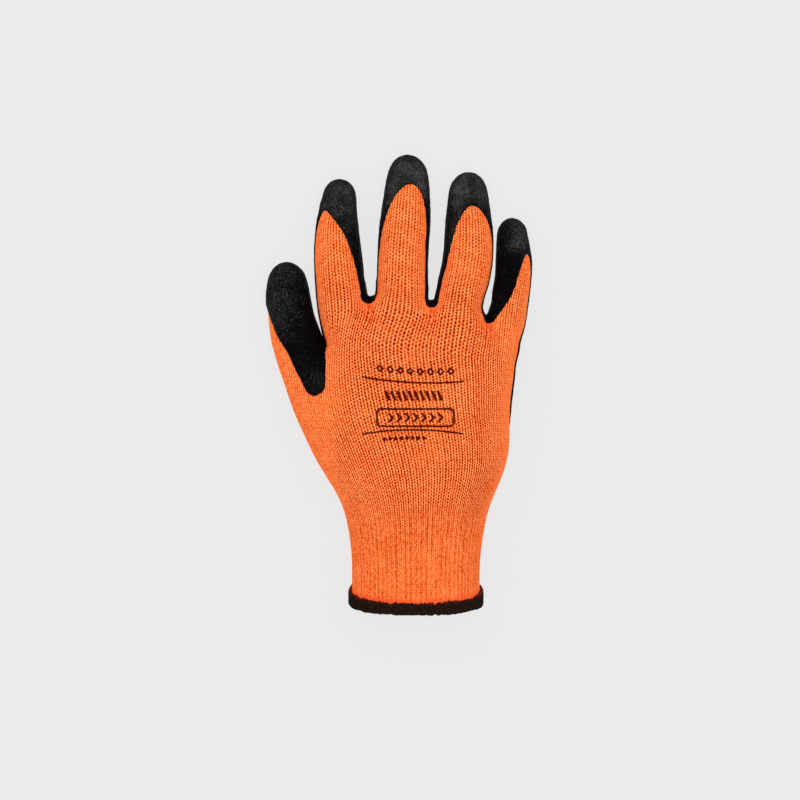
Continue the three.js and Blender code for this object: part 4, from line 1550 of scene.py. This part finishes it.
@dataclass(frozen=True)
class LatexFinish:
    """Black foamed latex with a fine crinkle."""

    # dark and the grey highlight are painted shade and light on the crinkle
    dark: Colour = (0.0006, 0.0006, 0.0007)
    black: Colour = (0.0055, 0.0054, 0.0055)
    painted_highlight: Colour = (0.085, 0.081, 0.082)
    crinkle: float = 0.85
    pore: float = 0.62

    def painted_sheen(self, x: Wire, y: Wire, top: Wire) -> Wire:
        """Painted sheen of the overhead light on the coating: greyer at the tips, on thumb and little finger
        and at the tongue's end, and more where the surface faces up.

        Args:
            x: Place across the hand in millimetres.
            y: Place along the hand.
            top: How far the surface looks up.

        Returns:
            A larger value where it is greyer.
        """
        tips = y.step(58, 125)
        thumb = x.step(-54, -74) * y.step(20, 48)
        little = x.step(44, 56) * y.step(66, 92)
        tail = y.step(19, 11) * y.step(0, 8)
        return tips.most(thumb * 0.64).most(little).most(tail * 0.36) * (top * 0.45 + 0.2) - 0.04

    def make(self) -> bpy.types.Material:
        """Makes the material."""
        finish = Finish("black_latex")
        place = finish.place()
        x, y, _ = finish.millimetres(place)
        pores = finish.grain(self.pore, place, 3.0, 0.7)
        folds = finish.grain(self.crinkle, place, 4.0, 0.65)
        ridges = 1 - abs(folds - 0.5) * 4
        cloud = finish.grain(9, place, 3.0)
        sheen_patches = finish.grain(3.2, place, 4.0, 0.7).step(0.48, 0.75)
        # painted sheen: greyer where the coating faces up and at the tips, thumb, little finger and tongue's
        # end, in patches
        painted_sheen = self.painted_sheen(x, y, finish.openness())
        rough = 2.1 - y.step(80, 120) * 0.8
        # painted light on the crinkle: folds and pores lift some specks to grey highlights and sink others to
        # the darkest black
        tone = painted_sheen + (folds - 0.5) * rough + (pores - 0.5) * rough
        tone = tone + (cloud - 0.5) * 0.8 + sheen_patches * painted_sheen * 0.5
        colour = finish.blend(tone.step(-0.1, 0.35), self.dark, self.black)
        colour = finish.blend(tone.step(0.3, 1.1), colour, self.painted_highlight)
        normal = finish.bump(pores, 0.25, 0.8, finish.bump(ridges, 0.3, 0.8))
        finish.set(
            Base_Color=colour,
            Roughness=0.45 + (cloud - 0.5) * 0.2 + pores * 0.15,
            Normal=normal,
            Specular_IOR_Level=0.03,
        )
        return finish.material


@dataclass(frozen=True)
class BindingFinish:
    """Dark brown overlock yarn, wrapped round the cuff's edge."""

    dark: Colour = (0.0014, 0.0008, 0.0005)
    brown: Colour = (0.038, 0.015, 0.008)
    fleck: Colour = (0.5, 0.045, 0.015)
    wraps: float = 3.0

    def make(self) -> bpy.types.Material:
        """Makes the material."""
        finish = Finish("brown_overlock")
        place = finish.place()
        u, v, _ = finish.stitches()
        fibre = finish.grain(0.6, place, 3.0, 0.75)
        loose = finish.grain(1.6, place, 2.0)
        twist = (((u * self.wraps + v * 4.0 + loose * 0.8).fract()) * math.pi).sine()
        strand = (((u * self.wraps * 3 - v * 9.0).fract()) * math.pi).sine()
        # painted shade between the yarn's wraps and lighter crests on them, with the yarn's own random tone
        # from the fibre noise
        tone = twist * 0.35 + strand * 0.15 + (fibre - 0.5) * 1.7 + (loose - 0.5) * 0.7 + 0.1
        colour = finish.blend(tone.step(0.0, 1.0), self.dark, self.brown)
        stray = finish.grain(1.1, place, 2.0).step(0.52, 0.6) * v.step(0.22, 0.08)
        colour = finish.blend(stray * 0.65, colour, self.fleck)
        relief = twist * 0.7 + strand * 0.3
        normal = finish.bump(fibre, 0.2, 0.9, finish.bump(relief, 0.45, 0.9))
        finish.set(
            Base_Color=colour,
            Roughness=0.8 + fibre * 0.15,
            Normal=normal,
            Specular_IOR_Level=0.08,
        )
        return finish.material


@dataclass(frozen=True)
class FloorFinish:
    """Plain pale table that is lit from below, so that shadows on it stay faint."""

    colour: Colour = (0.08, 0.08, 0.08)
    glow: float = 0.742

    def make(self) -> bpy.types.Material:
        """Makes the material."""
        finish = Finish("pale_floor")
        mottle = finish.grain(160, finish.place(), 1.0)
        finish.set(
            Base_Color=self.colour,
            Roughness=0.85 + mottle * 0.1,
            Specular_IOR_Level=0.05,
            Emission_Color=(1.0, 1.0, 1.0),
            Emission_Strength=self.glow,
        )
        return finish.material


@dataclass
class KnitLiner:
    """The seamless knit glove, outside and inside."""

    form: GloveForm
    ridge: float = 0.11
    rib: float = 0.06
    wave: float = 0.3
    dimple: float = 0.1
    crease_depth: float = 1.7
    crease_width: float = 1.3
    crease_length: float = 12.0
    covered: float = -3.0
    sunk: float = 0.35
    shut: float = 0.85
    shut_back: float = 3.0
    shut_width: float = 6.0
    name: str = "knit_cloth"

    def openness(self, points: np.ndarray, normals: np.ndarray) -> np.ndarray:
        """How open the holes between the wales are, from 0 to 1."""
        x, y = points[..., 0], points[..., 1]
        up = smooth_step(normals[..., 2], 0.35, 0.9)
        wrist = self.form.wrist_y
        # Narrow near the hem, wider over the cuff and full from the wrist on.
        above = 0.28 + 0.22 * smooth_step(y, wrist - 36, wrist - 12)
        above = above + 0.5 * smooth_step(y, wrist - 14, wrist + 10)
        # Narrower at both sides of the palm, and wider on the palm than on the fingers.
        middle = 1 - 0.6 * smooth_step(np.abs(x - 2), 34, 52) * (1 - smooth_step(y, 25, 55))
        palm = 1 - smooth_step(y, 45, 75)
        whole = up * above * middle * (0.74 + 0.38 * palm + 0.3 * ripple(points, 22, 3.1))
        for gap in GAP_ENDS:
            whole *= 1 - self.shut * gap.spot(x, y, self.shut_back, self.shut_width)
        return whole

    def relief(self, points: np.ndarray, normals: np.ndarray, column: np.ndarray) -> np.ndarray:
        """Height of the cloth over the plain surface.

        Args:
            points: Places on the surface.
            normals: Directions there; not used.
            column: Columns of the net, with parts.

        Returns:
            Millimetres at each point.
        """
        x, y, z = points[..., 0], points[..., 1], points[..., 2]
        cuff = 1 - smooth_step(y, self.form.wrist_y - 10, self.form.wrist_y)
        wales = self.ridge * -np.cos(2 * np.pi * WALES * column)
        ribs = self.rib * np.cos(2 * np.pi * column)
        height = wales * (1 - 0.5 * cuff) + ribs * cuff
        height += self.wave * ripple(points, 16, 7.7) + self.dimple * ripple(points, 4, 1.3)
        for web in WEBS[1:-1]:
            web_y = self.form.web_line(web) - self.form.web_back
            below = smooth_step(y, web_y - self.crease_length, web_y - 2)
            below = below * (1 - smooth_step(y, web_y, web_y + 4))
            near = np.exp(-(((x - web.side * self.form.palm_width) / self.crease_width) ** 2))
            height -= self.crease_depth * near * below * smooth_step(z, 14, 20)
        return height

    def build(self, surface: Surface) -> bpy.types.Object:
        """Builds the liner.

        Args:
            surface: The glove's smooth surface.

        Returns:
            The liner's object.
        """
        draft = MeshDraft(self.name)
        nearest = surface.distance[surface.grid].max(axis=(1, 2))
        shown = nearest > self.covered
        across = np.linspace(0, 1, 2 * WALES + 1)
        for courses in np.unique(surface.courses[shown]):
            faces = np.flatnonzero(shown & (surface.courses == courses))
            along = np.linspace(0, 1, max(2, courses) + 1)
            self.add_outside(draft, surface, faces, across, along, courses)
        share = np.linspace(0, 1, 3)
        self.add_outside(draft, surface, np.flatnonzero(~shown), share, share, 1)
        every = np.arange(len(surface.grid))
        points, normals = surface.places(every, share, share)
        coords = np.stack(np.broadcast_arrays(
            (surface.columns[:, None, None] + share[None, None, :]) * WALES,
            share[None, :, None] * surface.courses[:, None, None],
        ), -1)
        inside = np.full(points.shape[:3], -1.0)
        draft.sheet(points - normals * self.form.knit_wall, coords, inside, flip=True)
        return draft.make(KnitFinish(wrist_y=self.form.wrist_y).make())

    def add_outside(
        self,
        draft: MeshDraft,
        surface: Surface,
        faces: np.ndarray,
        across: np.ndarray,
        along: np.ndarray,
        courses: int,
    ) -> None:
        """Adds the outside of some faces.

        Args:
            draft: The piece's draft.
            surface: The glove's surface.
            faces: Numbers of the faces.
            across: Shares across a face.
            along: Shares along a face.
            courses: Courses of the knit on a face.
        """
        points, normals = surface.places(faces, across, along)
        normals /= np.linalg.norm(normals, axis=-1, keepdims=True)
        distance = surface.sample(surface.distance, faces, across, along)[..., 0]
        blank = np.zeros(distance.shape)
        column = surface.columns[faces][:, None, None] + across[None, None, :] + blank
        height = self.relief(points, normals, column)
        under = 1 - smooth_step(distance, -1.6, -0.2)
        height = height * (1 - under) - self.sunk * under
        coords = np.stack([column * WALES, along[None, :, None] * courses + blank], -1)
        draft.sheet(points + normals * height[..., None], coords, self.openness(points, normals))


@dataclass
class LatexCoating:
    """The latex skin on the palm, the fingertips and the sides of the fingers."""

    form: GloveForm
    taper: float = 2.4
    lip: float = 0.4
    edge_sway: float = 0.3
    crinkle: float = 0.16
    swell: float = 0.22
    pool: float = 0.05
    pool_back: float = 2.0
    pool_width: float = 3.2
    sink: float = 0.3
    name: str = "latex_skin"

    def height(self, distance: np.ndarray, points: np.ndarray) -> np.ndarray:
        """Height of the coating over the surface.

        Args:
            distance: Millimetres from its edge, negative inside.
            points: Places on the surface.

        Returns:
            Millimetres at each point.
        """
        inside = np.clip(-distance / self.taper, 0, 1)
        full = self.form.layer_gap + self.form.coating_wall - 0.06
        rise = self.lip + (full - self.lip) * np.sqrt(1 - (1 - inside) ** 2)
        fine = self.crinkle * (ripple(points, 1.7, 5.5) + 0.8 * ripple(points, 3.9, 9.1))
        broad = self.swell * ripple(points, 12, 2.2)
        pool = np.zeros(len(points))
        for gap in GAP_ENDS:
            pool += self.pool * gap.spot(points[:, 0], points[:, 1], self.pool_back, self.pool_width)
        return rise + (fine + broad) * (0.3 + 0.7 * inside) + pool * inside

    def build(self, surface: Surface) -> bpy.types.Object:
        """Builds the coating.

        Args:
            surface: The glove's smooth surface.

        Returns:
            The coating's object.
        """
        distance = surface.distance + self.edge_sway * ripple(surface.points, 2.6, 4.4)
        raised = surface.points + surface.normals * self.height(distance, surface.points)[:, None]
        raised[:, 2] = np.maximum(raised[:, 2], 0)
        faces, extra = self.cut(surface, distance)
        points = np.concatenate([raised, np.array(extra)])
        used = np.unique([number for face in faces for number in face])
        place = np.zeros(len(points), int)
        place[used] = np.arange(len(used))
        draft = MeshDraft(self.name)
        # how far the coating faces up, which sets the strength of its painted sheen
        flat = smooth_step(np.concatenate([surface.normals[:, 2], np.zeros(len(extra))]), 0.1, 0.9)
        rings = [[int(place[number]) for number in face] for face in faces]
        draft.polygons(points[used], rings, flat[used])
        return draft.make(LatexFinish().make())

    def cut(self, surface: Surface, distance: np.ndarray) -> tuple[list[list[int]], list[np.ndarray]]:
        """Cuts the surface's cells off along the coating's edge.

        Args:
            surface: The glove's smooth surface.
            distance: Millimetres from the edge, negative inside.

        Returns:
            The faces, and the edge's points, which are numbered after those of the surface.
        """
        low = distance[surface.quads] < 0
        whole = low.all(1)
        faces = [list(map(int, quad)) for quad in surface.quads[whole]]
        rim: dict[tuple[int, int], tuple[int, int]] = {}
        extra: list[np.ndarray] = []
        made: dict[tuple[int, int], int] = {}
        size = len(distance)
        for quad in surface.quads[low.any(1) & ~whole]:
            ring = []
            for k in range(4):
                a, b = int(quad[k]), int(quad[(k + 1) % 4])
                if distance[a] < 0:
                    ring.append((a, False))
                if (distance[a] < 0) != (distance[b] < 0):
                    pair = (min(a, b), max(a, b))
                    if pair not in made:
                        share = distance[pair[0]] / (distance[pair[0]] - distance[pair[1]])
                        point, normal = (
                            values[pair[0]] * (1 - share) + values[pair[1]] * share
                            for values in (surface.points, surface.normals)
                        )
                        made[pair] = size + len(extra)
                        extra += [point + normal * self.lip, point - normal * self.sink]
                    ring.append((made[pair], True))
            faces.append([number for number, _ in ring])
            for k, (number, cut) in enumerate(ring):
                after, after_cut = ring[(k + 1) % len(ring)]
                if cut and after_cut:
                    rim[(number, after)] = (number + 1, after + 1)
        for (first, second), (first_low, second_low) in rim.items():
            faces.append([second, first, first_low, second_low])
        LOG.info("coating: %d edge pieces", len(rim))
        return faces, extra


@dataclass
class CuffBinding:
    """The overlocked binding round the edge of the cuff."""

    form: GloveForm
    columns: int = 64
    around: int = 12
    wraps: int = 3
    teeth: float = 1.5
    yarn: float = 0.24
    tooth: float = 0.45
    ragged: float = 0.55
    name: str = "cuff_overlock"

    def path(self) -> list[tuple[float, float, float]]:
        """Profile of the binding: share up its depth, distance out and distance past the edge."""
        wall = self.form.binding_wall
        gap = self.form.layer_gap
        outer = gap + wall
        inner = -(self.form.knit_wall + gap + wall)
        middle = (outer + inner) / 2
        return [
            (1.0, 0.0, 0.0),
            (1.0, outer * 0.7, 0.0),
            (0.9, outer, 0.0),
            (0.6, outer * 1.05, 0.0),
            (0.3, outer, 0.0),
            (0.0, outer, outer * 0.3),
            (0.0, outer * 0.75, outer * 0.75),
            (0.0, middle, outer),
            (0.0, inner * 0.85, outer * 0.75),
            (0.0, inner, outer * 0.3),
            (0.3, inner, 0.0),
            (0.7, inner, 0.0),
            (1.0, inner * 0.9, 0.0),
            (1.0, -self.form.knit_wall, 0.0),
        ]

    def build(self, surface: Surface) -> bpy.types.Object:
        """Builds the binding.

        Args:
            surface: The glove's smooth surface.

        Returns:
            The binding's object.
        """
        count = self.columns
        faces = np.arange(len(surface.grid) - count, len(surface.grid))
        across = np.linspace(0, 1, self.around, endpoint=False)
        ends = surface.sample(surface.points, faces, across, np.array([0.0, 1.0]))
        low = ends[:, 0].reshape(-1, 3)
        top = ends[:, 1].reshape(-1, 3)
        normals = surface.sample(surface.normals, faces, across, np.zeros(1))[:, 0].reshape(-1, 3)
        normals[:, 1] = 0
        normals /= np.linalg.norm(normals, axis=1, keepdims=True)
        column = (np.arange(count)[:, None] + across[None, :]).ravel()
        column = np.append(column, count)
        low, top, normals = (np.concatenate([part, part[:1]]) for part in (low, top, normals))
        knots = self.path()
        shares = np.linspace(0, len(knots) - 1, 2 * len(knots) - 1)
        profile = np.array([np.interp(shares, range(len(knots)), values) for values in zip(*knots)]).T
        rough = ripple(low, 2.2, 8.8)
        fine = ripple(low, 1.1, 6.2)
        rough[-1], fine[-1] = rough[0], fine[0]
        rows = []
        coords = []
        for n, (up, side, drop) in enumerate(profile):
            slide = shares[n] / shares[-1]
            tooth = self.tooth * (0.5 + 0.5 * np.cos(2 * np.pi * column * self.teeth))
            tooth = tooth + 0.9 * rough + 0.7 * fine - 0.5
            wrap = self.yarn * np.abs(np.sin(np.pi * (column * self.wraps + slide * 4)))
            base = low + (top - low) * up
            base[:, 1] += tooth * smooth_step(np.array(up), 0.7, 1.0)
            sign = 1.0 if side > -self.form.knit_wall / 2 else -1.0
            point = base + normals * (side + sign * (wrap + 0.12 * rough))[:, None]
            if drop > 0:
                point[:, 1] -= drop + wrap + self.ragged * (0.6 * rough + fine)
            rows.append(point)
            coords.append(np.stack([column, np.full(len(column), slide)], -1))
        points = np.array(rows)[None]
        points[..., 2] = np.maximum(points[..., 2], 0)
        draft = MeshDraft(self.name)
        draft.sheet(points, np.array(coords)[None], np.zeros(points.shape[:3]), flip=True)
        return draft.make(BindingFinish().make())


@dataclass
class Studio:
    """Pale floor, soft lights and the camera above the glove, in metres."""

    floor_size: float = 3.0
    light_place: tuple[float, float, float] = (0.1, 0.2, 2.2)
    light_size: float = 3.0
    light_power: float = 47.0
    side_place: tuple[float, float, float] = (-1.3, 0.9, 1.1)
    side_size: float = 1.0
    side_power: float = 2.5
    fill: float = 0.5
    view: tuple[float, float] = (-0.0082, 0.0001)
    distance: float = 1.15
    middle_height: float = 0.015
    frame_width: float = 0.4348
    sensor: float = 36.0

    def build(self) -> None:
        """Builds the floor, the lights and the camera."""
        self.add_floor()
        self.add_light("overhead", self.light_place, self.light_size, self.light_power)
        self.add_light("side_soft", self.side_place, self.side_size, self.side_power)
        world = bpy.data.worlds.new("studio_air")
        world.use_nodes = True
        background = world.node_tree.nodes["Background"]
        background.inputs[0].default_value = (1.0, 1.0, 1.0, 1.0)
        background.inputs[1].default_value = self.fill
        scene = bpy.context.scene
        scene.world = world
        scene.view_settings.view_transform = "Standard"
        camera = bpy.data.cameras.new("camera")
        camera.sensor_width = self.sensor
        camera.lens = self.sensor * (self.distance - self.middle_height) / self.frame_width
        holder = link_object("camera", camera)
        holder.location = (*self.view, self.distance)
        scene.camera = holder
        LOG.info("camera: lens %.1f mm", camera.lens)

    def add_floor(self) -> None:
        """Adds the floor."""
        half = self.floor_size / 2
        mesh = bpy.data.meshes.new("floor")
        corners = [(x * half, y * half, 0) for x, y in ((-1, -1), (1, -1), (1, 1), (-1, 1))]
        mesh.from_pydata(corners, [], [(0, 1, 2, 3)])
        mesh.materials.append(FloorFinish().make())
        floor = link_object("floor", mesh)

    def add_light(self, name: str, place: tuple[float, float, float], size: float, power: float) -> None:
        """Adds a soft light that looks at the glove.

        Args:
            name: Name of the light.
            place: Its place.
            size: Its side.
            power: Its power in watts.
        """
        light = bpy.data.lights.new(name, "AREA")
        light.shape = "SQUARE"
        light.size = size
        light.energy = power
        holder = link_object(name, light)
        holder.location = place
        holder.rotation_euler = (-Vector(place)).to_track_quat("-Z", "Y").to_euler()


def main() -> None:
    """Builds every piece in order."""
    logging.basicConfig(level=logging.INFO, format="%(name)s: %(message)s")
    form = GloveForm()
    surface = form.build()
    pieces = (
        (KnitLiner(form), "knit_liner", "knit"),
        (LatexCoating(form), "latex_coating", "latex"),
        (CuffBinding(form), "cuff_binding", "binding"),
    )
    for maker, node, slot in pieces:
        piece = maker.build(surface)
        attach(piece, "root")
        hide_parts(node)
        LOG.info("%s stands for %s", piece.name, node)
    Studio().build()


if __name__ == "__main__":
    main()
